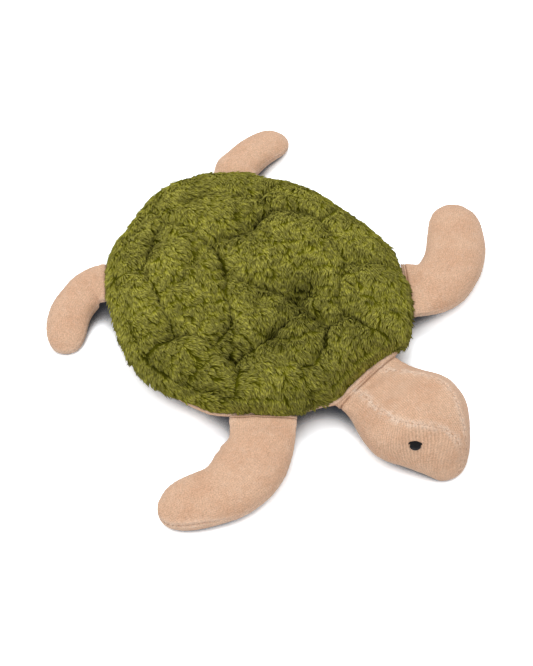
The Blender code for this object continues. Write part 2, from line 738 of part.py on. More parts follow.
def make_head(limb):
    """Three panels, the filling and the two embroidered eyes."""
    outer = head_stations(limb)
    seams = head_seams()
    whole = full_turn(2 * HEAD_SIDE_POINTS + HEAD_CROWN_POINTS)
    panels = {
        "head_top_panel": [wedge_ring(station, left, right, HEAD_CROWN_POINTS)
                           for station, (right, left, lower) in zip(outer, seams)],
        "head_right_panel": [wedge_ring(station, right, lower, HEAD_SIDE_POINTS)
                             for station, (right, left, lower) in zip(outer, seams)],
        "head_left_panel": [wedge_ring(station, lower - 360.0, left, HEAD_SIDE_POINTS)
                            for station, (right, left, lower) in zip(outer, seams)],
    }
    for name, rings in panels.items():
        piece = add_object(name, ring_mesh(name, rings), PARTS, "beige velour")
        inner = [oval_ring(station, whole, HEAD_EXPONENT)
                 for station in head_stations(limb, -VELOUR_THICKNESS)]
        cut(piece, add_cutter(name + "_hollow", ring_mesh(name + "_hollow", inner)))
    filling = [oval_ring(station, whole, HEAD_EXPONENT)
               for station in head_stations(limb, -VELOUR_THICKNESS - STUFFING_GAP)]
    add_object("head_stuffing", ring_mesh("head_stuffing", filling), PARTS, "white filling")


def head_surface(limb, share, angle):
    """Point of the head's outer surface at a share of its length."""
    stations = head_stations(limb)[len(ROOT_NOSE_ANGLES):]
    shares = [row[0] for row in HEAD_STATION_SHARES]
    for i in range(len(shares) - 1):
        if share <= shares[i + 1]:
            break
    part = (share - shares[i]) / (shares[i + 1] - shares[i])
    ends = []
    for station in (stations[i], stations[i + 1]):
        centre, side, half_width, half_height = station
        ends.append(centre + oval_offset(side, half_width, half_height, angle, HEAD_EXPONENT))
    return ends[0].lerp(ends[1], part)


def make_eye(name, limb, share, angle):
    """A flat oval of thread on the side of the head, its long way along the head."""
    place = head_surface(limb, share, angle)
    along = (head_surface(limb, share + EYE_STEP_SHARE, angle)
             - head_surface(limb, share - EYE_STEP_SHARE, angle))
    round_head = (head_surface(limb, share, angle + EYE_STEP_ANGLE)
                  - head_surface(limb, share, angle - EYE_STEP_ANGLE))
    along.normalize()
    normal = round_head.cross(along).normalized()
    if normal.dot(place - limb.hinge - limb.outward * (share * HEAD_LENGTH)) < 0.0:
        normal.negate()
    across = normal.cross(along).normalized()
    bpy.ops.mesh.primitive_uv_sphere_add(segments=EYE_SEGMENTS, ring_count=EYE_RINGS, radius=1.0)
    sphere = bpy.context.object
    mesh = sphere.data
    bpy.data.objects.remove(sphere, do_unlink=True)
    half_sizes = (EYE_LENGTH / 2.0, EYE_WIDTH / 2.0, EYE_THICKNESS / 2.0)
    centre = place + normal * (EYE_THICKNESS / 2.0 + SEAM_GAP)
    turn = Matrix((along, across, normal)).transposed().to_4x4()
    mesh.transform(Matrix.Translation(centre) @ turn @ Matrix.Diagonal((*half_sizes, 1.0)))
    mesh.name = name
    for polygon in mesh.polygons:
        polygon.use_smooth = True
    return add_object(name, mesh, PARTS, "black thread")


clear_scene()
PARTS = make_collection("plush_turtle")
CUTTERS = make_collection("plush_turtle_cutters")
CHORDS = {direction: chord_distance(direction) for direction in limb_directions()}

make_shell_cover()
make_belly_panel()
make_rim_welt()
make_body_stuffing()
NECK = Limb(HEAD_DIRECTION, NECK_ROOT_RADIUS, -NECK_OFFSET)
make_head(NECK)
make_eye("eye_right", NECK, RIGHT_EYE_STATION_SHARE, RIGHT_EYE_ANGLE)
make_eye("eye_left", NECK, LEFT_EYE_STATION_SHARE, LEFT_EYE_ANGLE)
make_flippers()
for cutter in CUTTERS.objects:
    cutter.hide_set(True)
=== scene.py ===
"""Plush sea turtle in fabric: long-pile quilted shell, ribbed velour skins, sewn seams and satin eyes."""
import math

import bmesh
import bpy
import numpy as np
from bpy.props import FloatProperty, FloatVectorProperty, IntProperty, PointerProperty, StringProperty
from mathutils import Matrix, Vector, noise


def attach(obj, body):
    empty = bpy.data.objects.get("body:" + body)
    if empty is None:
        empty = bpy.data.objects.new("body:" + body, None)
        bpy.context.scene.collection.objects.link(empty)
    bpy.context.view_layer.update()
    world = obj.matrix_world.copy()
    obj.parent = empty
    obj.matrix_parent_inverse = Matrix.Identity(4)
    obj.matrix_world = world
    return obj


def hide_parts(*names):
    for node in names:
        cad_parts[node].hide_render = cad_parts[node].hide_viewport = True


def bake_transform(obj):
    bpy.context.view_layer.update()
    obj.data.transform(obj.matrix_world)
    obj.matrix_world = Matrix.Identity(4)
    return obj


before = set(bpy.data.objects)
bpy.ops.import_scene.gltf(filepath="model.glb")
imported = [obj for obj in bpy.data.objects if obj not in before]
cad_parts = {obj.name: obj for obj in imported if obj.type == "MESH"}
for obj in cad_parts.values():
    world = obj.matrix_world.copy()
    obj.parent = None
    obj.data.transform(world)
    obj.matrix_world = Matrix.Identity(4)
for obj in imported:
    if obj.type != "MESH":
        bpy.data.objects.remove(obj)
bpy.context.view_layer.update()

bl_info = {
    "name": "Plush Sea Turtle",
    "version": (1, 0, 0),
    "blender": (4, 5, 0),
    "location": "View3D > Sidebar > Turtle",
    "description": "Builds the fabric pieces of a plush sea turtle over its solid frame",
    "category": "Add Mesh",
}

TAU = 2.0 * math.pi
UP = np.array([0.0, 0.0, 1.0])
VELOUR = "ribbed cotton velour"
SEAM_THREAD = "beige sewing thread"
EYE_THREAD = "black satin thread"


# Sizes and colours a user would change

def settings_group(title, **settings):
    """A property group from each setting's default and description, labelled after its name."""
    made = {}
    for key, (default, text) in settings.items():
        about = {"name": key.replace("_", " ").title(), "description": text, "default": default}
        if isinstance(default, str):
            made[key] = StringProperty(**about)
        elif isinstance(default, tuple):
            made[key] = FloatVectorProperty(subtype="TRANSLATION", **about)
        elif isinstance(default, int):
            made[key] = IntProperty(**about)
        else:
            made[key] = FloatProperty(precision=4, **about)
    return type(title, (bpy.types.PropertyGroup,), {"__annotations__": made})


# lengths are in metres and colours in sRGB hex
TurtleBody = settings_group(
    "TurtleBody",
    half_width=(0.108, "Half width of the seam line"),
    half_length=(0.1195, "Half length of the seam line"),
    oval_exponent=(2.2, "Squareness of the outline"),
    narrowing=(0.05, "Share by which the tail end is narrower"),
    seam_height=(0.020, "Height of the rim seam"),
    dome_height=(0.0302, "Height of the shell's ground cloth over the seam"),
    dome_exponent=(2.25, "Fullness of the dome"),
    flipper_flat=(0.0055, "How deep the outline is straightened at a flipper"),
    neck_flat=(0.0012, "How deep the outline is straightened at the neck"),
    welt_radius=(0.0021, "Radius of the rolled rim seam"),
    seam_depth=(0.0038, "Depth of the valleys between the scutes"))
TurtlePile = settings_group(
    "TurtlePile",
    length=(0.0078, "Length of a lock of the long pile"),
    width=(0.00130, "Width of a lock"),
    density=(1500000.0, "Locks per square metre"),
    lift=(0.46, "How far the locks stand up from the cloth"),
    clump=(0.15, "How strongly neighbouring locks lean together"),
    seed=(7, "Seed of the random placing"))
TurtleColours = settings_group(
    "TurtleColours",
    # the pile's colours: painted light on its lit ends, its own olive in the middle, painted shade in the hollows at
    # its roots
    plush_tip=("A39E52", "Lit ends of the olive pile"),
    plush_body=("87832F", "Middle of the olive pile"),
    plush_root=("555502", "Hollows of the olive pile"),
    velour=("D6B093", "Beige velour"),
    velour_rose=("CB9F80", "Rosier patches of the velour"),
    # painted sheen of the brushed nap
    velour_pale=("E6CDB8", "Pale brushed nap of the velour"),
    # crushed nap in a root seam's fold, darkened with painted shade
    velour_fold=("835B44", "Crushed nap in the fold of a root seam"),
    thread_seam=("9A6F55", "Thread of the seams"),
    thread_eye=("060608", "Black satin thread of the eyes"))
TurtleStage = settings_group(
    "TurtleStage",
    azimuth=(-47.0, "Camera azimuth round the toy in degrees"),
    elevation=(55.0, "Camera elevation in degrees"),
    distance=(1.44, "Camera distance from its aim"),
    lens=(97.3, "Focal length in millimetres on a 36 mm sensor"),
    aim=((-0.0128, -0.0262, 0.0), "Point on the floor that the camera looks at"))


def body_sizes():
    return bpy.context.scene.turtle_body


def colour(name):
    """One of the sRGB hex colours as linear RGBA."""
    text = getattr(bpy.context.scene.turtle_colours, name)
    parts = [int(text[i:i + 2], 16) / 255.0 for i in (0, 2, 4)]
    return (*[p / 12.92 if p <= 0.04045 else ((p + 0.055) / 1.055) ** 2.4 for p in parts], 1.0)


# Shape helpers

def heading(angle):
    """Unit vectors in plan for an angle, or an array of angles, in degrees."""
    turn = np.radians(angle)
    return np.stack([np.cos(turn), np.sin(turn), np.zeros_like(turn)], -1)


def ease(part):
    part = np.clip(part, 0.0, 1.0)
    return part * part * (3.0 - 2.0 * part)


def bell(distance, width, power=2):
    return np.exp(-(distance / width) ** power)


def signed_power(value, power):
    return np.sign(value) * np.abs(value) ** power


def unit(vectors):
    return vectors / np.linalg.norm(vectors, axis=-1, keepdims=True)


def on_floor(flat):
    """Plan points as points in space."""
    return np.column_stack([flat, np.zeros(len(flat))])


def run_length(points):
    """Distance along a line of points, from 0 at the first."""
    return np.concatenate([[0.0], np.cumsum(np.linalg.norm(np.diff(points, axis=0), axis=1))])


def smooth_table(xs, ys, x):
    """Monotone cubic curve through a table."""
    xs, ys = np.asarray(xs, float), np.asarray(ys, float)
    step = np.diff(xs)
    slope = np.diff(ys) / step
    tangent = np.zeros(len(xs))
    tangent[0], tangent[-1] = slope[0], slope[-1]
    for i in range(1, len(xs) - 1):
        if slope[i - 1] * slope[i] > 0.0:
            tangent[i] = 2.0 * slope[i - 1] * slope[i] / (slope[i - 1] + slope[i])
    i = np.clip(np.searchsorted(xs, x, side="right") - 1, 0, len(step) - 1)
    t = (np.clip(x, xs[0], xs[-1]) - xs[i]) / step[i]
    return ((2 * t ** 3 - 3 * t ** 2 + 1) * ys[i] + (t ** 3 - 2 * t ** 2 + t) * step[i] * tangent[i]
            + (3 * t ** 2 - 2 * t ** 3) * ys[i + 1] + (t ** 3 - t ** 2) * step[i] * tangent[i + 1])


def lumps(points, size, seed, octaves=2):
    """Smooth noise from -1 to 1 at each point, for lumps of about the given size in metres."""
    shift = Vector((seed * 3.7, seed * 1.3, seed * 7.1))
    return np.array([noise.fractal(Vector(p) / size + shift, 1.0, 2.0, octaves) for p in points])


def line_distance(points, line):
    """Plan distance from each point to a polyline."""
    best = np.full(len(points), 1e9)
    for a, b in zip(line[:-1], line[1:]):
        span = b - a
        t = np.clip(((points - a) @ span) / max(span @ span, 1e-12), 0.0, 1.0)
        best = np.minimum(best, np.hypot(*(points - a - t[:, None] * span).T))
    return best


# Outline of the body in plan

HEAD_ANGLE = -90.0
FRONT_ANGLE = 42.0
REAR_ANGLE = 44.5
LIMB_ANGLES = (HEAD_ANGLE, 180.0 + FRONT_ANGLE, -FRONT_ANGLE, 180.0 - REAR_ANGLE, REAR_ANGLE)
CORNER_ROUNDING = 0.004
# how far the stuffing pushes the rim out or the cloth draws it in, in millimetres, by direction in plan
RIM_PUSH = (
    (-180, 3.8), (-172, 3.8), (-165, 5.0), (-155, 4.8), (-148, 3.6), (-140, 2.2), (-133, 2.4), (-127, 3.2),
    (-121, 0.0), (-115, -2.4), (-109, 0.2), (-104, 2.0), (-99, 0.2), (-90, -0.8), (-85, 0.0), (-78, 2.6),
    (-72, 2.4), (-64, 0.4), (-56, 2.2), (-48, 5.0), (-40, 0.8), (-30, -1.5), (-20, -4.0), (0, -4.8), (30, -4.2),
    (39, -1.5), (48, 2.2), (56, 1.5), (66, -1.5), (84, -2.2), (96, -6.5), (104, -8.0), (112, -6.0), (120, -1.4),
    (130, 2.2), (138, 0.5), (152, -4.4), (160, -2.2), (168, 2.0), (180, 3.8),
)
# how far the cover bulges over the rim seam, in millimetres, by direction in plan
LIP_REACH = (
    (-180, 7.4), (-172, 6.4), (-165, 2.6), (-155, 1.0), (-148, 3.5), (-140, 8.5), (-128, 8.0), (-120, 2.8),
    (-112, 3.0), (-75, 8.0), (-40, 6.8), (-20, 4.6), (32, 4.6), (50, 7.5), (120, 7.5), (180, 7.4),
)
# radius of the rolled edge, in millimetres, by direction in plan
WELT_RADIUS = (
    (-180, 1.2), (-150, 1.2), (-140, 1.6), (-124, 1.5), (-114, 1.2), (-105, 2.2), (-90, 2.7), (-76, 2.7), (-66, 1.2),
    (180, 1.2),
)


def plain_oval(angle, grow):
    b = body_sizes()
    power = 2.0 / b.oval_exponent
    across, along = signed_power(np.cos(angle), power), signed_power(np.sin(angle), power)
    half_width = b.half_width * (1.0 - b.narrowing * along) + grow
    return np.stack([half_width * across, (b.half_length + grow) * along], -1)


def limb_touch(direction):
    """Middle of a limb's root on the plain oval and the distance of its straight stretch."""
    b = body_sizes()
    outward = heading(direction)[:2]
    oval = plain_oval(np.linspace(0.0, TAU, 3600, endpoint=False), 0.0)
    middle = oval[(oval @ outward).argmax()]
    return middle, middle @ outward - (b.neck_flat if direction == HEAD_ANGLE else b.flipper_flat)


def rim_plan(angle, grow=0.0):
    """The seam line in plan at parameter angles, straightened where the limbs are sewn on."""
    points = plain_oval(np.asarray(angle, float), grow)
    for direction in LIMB_ANGLES:
        outward = heading(direction)[:2]
        limit = limb_touch(direction)[1] + grow
        reach = points @ outward
        k = CORNER_ROUNDING
        h = np.clip(0.5 + 0.5 * (limit - reach) / k, 0.0, 1.0)
        kept = limit * (1.0 - h) + reach * h - k * h * (1.0 - h)
        points = points * np.where(reach > 0.5 * limit, kept / np.maximum(reach, 1e-6), 1.0)[:, None]
    return points


def by_direction(table, way):
    """Value in metres of a table by direction, for unit vectors in plan."""
    angles, sizes = zip(*table)
    return 0.001 * smooth_table(angles, sizes, np.degrees(np.arctan2(way[:, 1], way[:, 0])))


def bulged(points, share=1.0):
    """Points near the rim, moved out as the stuffing pushes it."""
    way = points[:, :2] / np.maximum(np.hypot(points[:, 0], points[:, 1]), 1e-6)[:, None]
    moved = points.copy()
    moved[:, :2] += way * (by_direction(RIM_PUSH, way) * share)[:, None]
    return moved


def facing(outward, direction, span):
    """1 within span radians of a direction in plan, and falling to 0 beyond it."""
    gap = np.arccos(np.clip(outward @ heading(direction)[:2], -1.0, 1.0))
    return 1.0 - ease((gap - span) / 0.16)


# Meshes

def mark(mesh, title, values):
    """Named values on a mesh's points: one number for all, or a number or a vector for each."""
    values = np.asarray(values, np.float32)
    if values.ndim == 0:
        values = np.full(len(mesh.vertices), values)
    kind, field = ("FLOAT_VECTOR", "vector") if values.ndim == 2 else ("FLOAT", "value")
    mesh.attributes.new(title, kind, "POINT").data.foreach_set(field, values.ravel())


def grid_mesh(name, rows, start=True, end=True, wrap=False, uv=None, marks=None):
    """Smooth mesh from a list of rings, each an (n, 3) array, with a pole at the start and at the end, or wrapped
    from the last ring to the first. uv holds (n + 1, 2) coordinates for each ring; marks named values for each."""
    n, m = len(rows[0]), len(rows)
    points = np.concatenate(rows + [rows[0].mean(0)[None]] * start + [rows[-1].mean(0)[None]] * end)
    first, last = m * n, m * n + start
    faces, loops = [], []
    for r in range(m if wrap else m - 1):
        q = (r + 1) % m
        for i in range(n):
            j = (i + 1) % n
            faces.append((r * n + i, r * n + j, q * n + j, q * n + i))
            loops.append(((r, i), (r, i + 1), (q, i + 1), (q, i)))
    for i in range(n):
        j = (i + 1) % n
        if start:
            faces.append((first, j, i))
            loops.append(((0, i), (0, i + 1), (0, i)))
        if end:
            faces.append((last, (m - 1) * n + i, (m - 1) * n + j))
            loops.append(((m - 1, i), (m - 1, i), (m - 1, i + 1)))
    mesh = bpy.data.meshes.new(name)
    mesh.from_pydata(points.tolist(), [], faces)
    if uv is not None:
        flat = [uv[r][i] for face in loops for r, i in face]
        mesh.uv_layers.new(name="Cloth").data.foreach_set("uv", np.array(flat, np.float32).ravel())
    for title, values in (marks or {}).items():
        poles = [values[0].mean(keepdims=True)] * start + [values[-1].mean(keepdims=True)] * end
        mark(mesh, title, np.concatenate(values + poles))
    bm = bmesh.new()
    bm.from_mesh(mesh)
    bmesh.ops.recalc_face_normals(bm, faces=bm.faces)
    bm.to_mesh(mesh)
    bm.free()
    mesh.polygons.foreach_set("use_smooth", [True] * len(mesh.polygons))
    return mesh


def add_piece(name, data, material=None):
    piece = bpy.data.objects.new(name, data)
    bpy.context.scene.collection.objects.link(piece)
    if material:
        data.materials.append(bpy.data.materials[material])
    return piece


# Node graphs

class Graph:
    """A node tree and short ways to add its nodes."""

    def __init__(self, tree):
        self.tree = tree
        tree.nodes.clear()

    def add(self, kind, inputs=None, **settings):
        """A node with its settings, its inputs by name or number, and links where an input is a socket."""
        made = self.tree.nodes.new(kind)
        for key, value in settings.items():
            setattr(made, key, value)
        for key, value in (inputs or {}).items():
            if isinstance(value, bpy.types.NodeSocket):
                self.tree.links.new(value, made.inputs[key])
            else:
                made.inputs[key].default_value = value
        return made

    def out(self, kind, inputs=None, **settings):
        """The first output of a new node."""
        return self.add(kind, inputs, **settings).outputs[0]

    def calc(self, operation, *values, **settings):
        return self.out("ShaderNodeMath", dict(enumerate(values)), operation=operation, **settings)

    def vector(self, operation, *values):
        return self.out("ShaderNodeVectorMath", dict(enumerate(values)), operation=operation)

    def scaled(self, vector, scale):
        return self.out("ShaderNodeVectorMath", {0: vector, "Scale": scale}, operation="SCALE")

    def product(self, *values):
        result = values[0]
        for value in values[1:]:
            result = self.calc("MULTIPLY", result, value)
        return result

    def spread(self, value, start, end, low=0.0, high=1.0, kind="LINEAR"):
        """Map a value's range from start to end on to low to high."""
        ends = {"Value": value, "From Min": start, "From Max": end, "To Min": low, "To Max": high}
        return self.out("ShaderNodeMapRange", ends, interpolation_type=kind)

    def parts(self, vector):
        return self.add("ShaderNodeSeparateXYZ", {0: vector}).outputs

    def joined(self, *parts):
        return self.out("ShaderNodeCombineXYZ", dict(enumerate(parts)))

    def mix(self, factor, a, b):
        return self.add("ShaderNodeMix", {0: factor, 6: a, 7: b}, data_type="RGBA").outputs[2]

    def fac(self, name):
        return self.add("ShaderNodeAttribute", attribute_name=name).outputs["Fac"]

    def noise(self, place, scale, detail, roughness=0.5):
        inputs = {"Vector": place, "Scale": scale, "Detail": detail, "Roughness": roughness}
        return self.add("ShaderNodeTexNoise", inputs).outputs["Fac"]

    def named(self, name, kind="FLOAT"):
        return self.add("GeometryNodeInputNamedAttribute", {"Name": name}, data_type=kind).outputs["Attribute"]

    def store(self, geometry, name, value, kind="FLOAT", domain="POINT"):
        inputs = {"Geometry": geometry, "Name": name, "Value": value}
        return self.out("GeometryNodeStoreNamedAttribute", inputs, data_type=kind, domain=domain)

    def chance(self, low, high, seed):
        return self.add("FunctionNodeRandomValue", {2: low, 3: high, "Seed": seed}, data_type="FLOAT").outputs[1]

    def finish(self, geometry, material):
        done = self.out("GeometryNodeSetMaterial", {"Geometry": geometry, "Material": material})
        self.add("NodeGroupOutput", {"Geometry": done})
        return self.tree


def new_material(name, paint, *choices):
    """A material whose surface is the shader that paint makes in its graph."""
    material = bpy.data.materials.new(name)
    material.use_nodes = True
    g = Graph(material.node_tree)
    g.add("ShaderNodeOutputMaterial", {"Surface": paint(g, *choices)})
    return material


def geometry_graph(name, **inputs):
    """A Geometry Nodes tree's graph and its input sockets; an underscore in an input stands for a space."""
    tree = bpy.data.node_groups.new(name, "GeometryNodeTree")
    for title, kind in {"Geometry": "Geometry", **inputs}.items():
        tree.interface.new_socket(title.replace("_", " "), in_out="INPUT", socket_type="NodeSocket" + kind)
    tree.interface.new_socket("Geometry", in_out="OUTPUT", socket_type="NodeSocketGeometry")
    g = Graph(tree)
    return g, g.add("NodeGroupInput").outputs


def run_tree(piece, tree, values):
    """Give a piece a Geometry Nodes modifier with named inputs, and turn the result into its plain mesh."""
    modifier = piece.modifiers.new(tree.name, "NODES")
    modifier.node_group = tree
    for socket in tree.interface.items_tree:
        if socket.in_out == "INPUT" and socket.name in values:
            modifier[socket.identifier] = values[socket.name]
    mesh = bpy.data.meshes.new_from_object(piece.evaluated_get(bpy.context.evaluated_depsgraph_get()))
    piece.modifiers.clear()
    old, piece.data = piece.data, mesh
    bpy.data.meshes.remove(old)
    mesh.name = piece.name
    return piece


# Materials

KNIT_PITCH = 0.0016
PAPER_SHADOW = (0.095, 0.115, 0.15, 1.0)
PAPER_LIT = (1.86, 1.97, 2.06, 1.0)
PAPER_BOUNCED = (0.72, 0.74, 0.76, 1.0)


def plush_paint(g):
    """Acrylic long-pile plush, olive: brushed into locks, dark at the roots, paler and matt at the tips."""
    reach = g.fac("lock_reach")
    strand = g.add("ShaderNodeAttribute", attribute_name="lock_place").outputs["Vector"]
    place = g.add("ShaderNodeTexCoord").outputs["Object"]
    # painted shade at a lock's root and painted light at its tip, by its height along the lock
    rise = g.spread(reach, 0.12, 0.62, kind="SMOOTHSTEP")
    tip = g.spread(reach, 0.45, 1.0, kind="SMOOTHSTEP")
    upper = g.mix(tip, g.mix(rise, colour("plush_root"), colour("plush_body")), colour("plush_tip"))
    shade = g.calc("MULTIPLY_ADD", g.fac("lock_tone"), 0.94, 0.51)
    # fibres of about 0.3 mm, drawn coarse enough to show
    streak = g.calc("MULTIPLY_ADD", g.noise(strand, 1.0, 2.0), 1.60, 0.20)
    nap = g.calc("MULTIPLY_ADD", g.noise(place, 42.0, 3.0, 0.6), 0.90, 0.56)
    tinted = g.scaled(upper, g.product(shade, streak, nap))
    # painted shade: pile in a seam, in a hollow or on the side towards the viewer is darkened, most at the roots, and
    # on puffs and swells it is lightened
    darkest = g.calc("MULTIPLY_ADD", reach, 0.62, 0.04)
    tinted = g.scaled(tinted, g.spread(g.fac("pile_depth"), 0.0, 1.0, 1.14, darkest))
    # light scatters from lock to lock, so a lock shades partly as the cloth under it does
    ground = g.add("ShaderNodeAttribute", attribute_name="cloth_normal").outputs["Vector"]
    ground = g.out("ShaderNodeVectorTransform", {0: ground}, vector_type="NORMAL", convert_from="OBJECT",
                   convert_to="WORLD")
    own = g.add("ShaderNodeNewGeometry").outputs["Normal"]
    blend = g.add("ShaderNodeMix", {0: 0.46, 4: own, 5: ground}, data_type="VECTOR").outputs[1]
    return g.out("ShaderNodeBsdfPrincipled", {
        "Base Color": tinted, "Normal": g.vector("NORMALIZE", blend), "Roughness": 0.9, "Sheen Weight": 0.03,
        "Sheen Roughness": 0.5, "Sheen Tint": (0.66, 0.68, 0.40, 1.0), "Specular IOR Level": 0.04})


def velour_paint(g):
    """Cotton velour, beige: weft-knitted in fine ribs, with a short nap that brushes paler at seams and edges."""
    place = g.add("ShaderNodeTexCoord").outputs["Object"]
    cloth = g.add("ShaderNodeUVMap", uv_map="Cloth").outputs["UV"]

    def knit(way, distortion, detail, detail_scale):
        # a wave's scale is its count over 2 pi in a metre, over 20
        return g.add("ShaderNodeTexWave", {
            "Vector": cloth, "Scale": TAU / KNIT_PITCH / 20.0, "Distortion": distortion, "Detail": detail,
            "Detail Scale": detail_scale}, wave_type="BANDS", bands_direction=way).outputs["Fac"]

    # wales, and the loops of the knit across them, drawn a little coarser than life to show
    wales, courses = knit("X", 2.6, 2.0, 1.8), knit("Y", 3.0, 1.0, 1.0)
    nap = g.noise(place, 950.0, 3.0, 0.7)
    mottle = g.noise(place, 55.0, 4.0, 0.6)
    brush = g.noise(place, 260.0, 4.0, 0.7)
    rosy = g.spread(mottle, 0.38, 0.68, 0.0, 0.72)
    # painted sheen: pale patches where the nap is brushed, and pale bands along the seams, the belly's rim and the
    # top of the rolled edge
    pale = g.spread(brush, 0.50, 0.78, 0.0, 0.30)
    edge = g.calc("ADD", pale, g.product(g.fac("seam_near"), brush), use_clamp=True)
    brushed = g.mix(edge, g.mix(rosy, colour("velour"), colour("velour_rose")), colour("velour_pale"))
    # the nap hides the knit, more on the flippers than on the head
    shown = g.fac("knit_show")
    rib = g.calc("ADD", g.product(g.calc("SUBTRACT", wales, 0.5), shown), 0.98)
    loop = g.calc("MULTIPLY_ADD", g.product(g.calc("SUBTRACT", courses, 0.5), shown), 0.6, 1.0)
    grain = g.calc("MULTIPLY_ADD", nap, 1.30, 0.35)
    # in the fold of a root seam the nap is crushed, and darkened with painted shade
    brushed = g.mix(g.fac("root_fold"), brushed, colour("velour_fold"))
    relief = {"Strength": 0.35, "Distance": 0.0004, "Height": g.calc("ADD", wales, nap)}
    return g.out("ShaderNodeBsdfPrincipled", {
        "Base Color": g.scaled(brushed, g.product(rib, loop, grain)), "Normal": g.out("ShaderNodeBump", relief),
        "Roughness": 0.86, "Sheen Weight": 0.38, "Sheen Roughness": 0.38, "Sheen Tint": (1.0, 0.90, 0.80, 1.0),
        "Specular IOR Level": 0.2})


def thread_paint(g, tint, sheen, roughness, gleam):
    """Polyester sewing thread: twisted and smooth, with a soft satin gleam."""
    twist = g.noise(g.add("ShaderNodeTexCoord").outputs["Object"], 2600.0, 1.0)
    shade = g.calc("MULTIPLY_ADD", twist, 0.5, 0.75)
    return g.out("ShaderNodeBsdfPrincipled", {
        "Base Color": g.scaled(colour(tint)[:3], shade), "Roughness": roughness, "Sheen Weight": sheen,
        "Specular IOR Level": gleam})


def paper_paint(g):
    """White paper: bright to the eye, so that only the close shadow shows, and pale grey to bounced light."""
    path = g.add("ShaderNodeLightPath").outputs
    seen = g.calc("MAXIMUM", path["Is Camera Ray"], path["Is Glossy Ray"])
    seen = g.calc("MAXIMUM", seen, path["Is Transmission Ray"])
    # painted shadow: the floor's own colour turns dark and cold where ambient occlusion finds the cloth close, so the
    # shadow is deepest and coldest close to the cloth
    near = g.add("ShaderNodeAmbientOcclusion", {"Distance": 0.040}, samples=16).outputs["AO"]
    near = g.spread(near, 0.20, 0.49, kind="SMOOTHSTEP")
    return g.out("ShaderNodeBsdfDiffuse", {"Color": g.mix(seen, PAPER_BOUNCED, g.mix(near, PAPER_SHADOW, PAPER_LIT))})


def build_materials():
    new_material("acrylic long-pile plush", plush_paint)
    new_material(VELOUR, velour_paint)
    new_material(SEAM_THREAD, thread_paint, "thread_seam", 0.2, 0.5, 0.4)
    new_material(EYE_THREAD, thread_paint, "thread_eye", 0.0, 0.45, 0.22)


# Shell: quilt seams, hollows and swells in percent of the half width and half length

QUILT_SEAMS = (
    ((-50, 60), (-58, 41), (-64, 28), (-74, 13), (-78, 6)), ((-98, 12), (-88, 10), (-78, 6)),
    ((-78, 6), (-69, -4), (-65, -18), (-55, -19), (-42, -18)), ((-65, -18), (-64, -34), (-69, -44), (-80, -50)),
    ((-67, 70), (-50, 60), (-37, 64), (-23, 72)), ((-23, 72), (-9, 74), (0, 62), (-4, 47), (-4, 37)),
    ((-9, 74), (-3, 96)), ((-4, 37), (12, 31), (28, 26), (43, 28), (54, 28)),
    ((15, 78), (36, 72), (48, 56), (58, 42), (54, 28)), ((58, 42), (84, 48)),
    ((-4, 37), (-9, 22), (-16, 10), (-28, 2), (-42, -18)),
    ((54, 28), (68, 15), (71, 0), (67, -14), (60, -29), (56, -38)), ((71, 0), (96, 2)),
    ((56, -38), (42, -43), (28, -52), (20, -66)), ((20, -66), (30, -92)),
    ((-64, -36), (-53, -38), (-41, -41), (-26, -42), (-11, -42), (3, -45)),
    ((-16, 10), (-4, -14), (3, -31), (3, -45), (3, -62), (15, -66), (20, -66)),
    ((-39, -70), (-26, -75), (-9, -71), (3, -62)), ((-39, -70), (-46, -85)), ((56, -38), (76, -56)),
)
# place, radius and depth in metres
QUILT_HOLLOWS = (
    (-26, 34, 0.012, 0.0026), (-14, 15, 0.011, 0.0026), (-12, -17, 0.013, 0.0022), (7, -34, 0.013, 0.0030),
    (6, -55, 0.012, 0.0026), (-30, -45, 0.012, 0.0028), (-56, -36, 0.012, 0.0022), (-45, 2, 0.011, 0.0024),
    (25, 38, 0.012, 0.0014), (-31, 68, 0.010, 0.0020), (24, 18, 0.014, 0.0012), (18, -38, 0.012, 0.0022),
    (45, -70, 0.012, 0.0018),
)
# where the stuffing swells the cloth, and how wide each swell is
QUILT_PUFFS = ((-19, 55), (-40, 79), (-72, 47), (32, 53), (43, 11), (54, -20), (55, -60), (-30, -27), (-35, -67),
               (-83, -13), (-61, -61), (-34, 18), (8, -79))
PUFF_RADIUS = 0.016
RING_SEAM_SHARE = 0.93
# directions in plan towards the viewer's side and to its right
TO_VIEWER = np.array([0.731, 0.682])
TO_RIGHT = np.array([0.682, -0.731])
SHELL_RINGS = 120
SHELL_AROUND = 340
TUFTS_PER_METRE = 205.0
CURL_POWER = 2.2
CURL_SHARE = 0.62


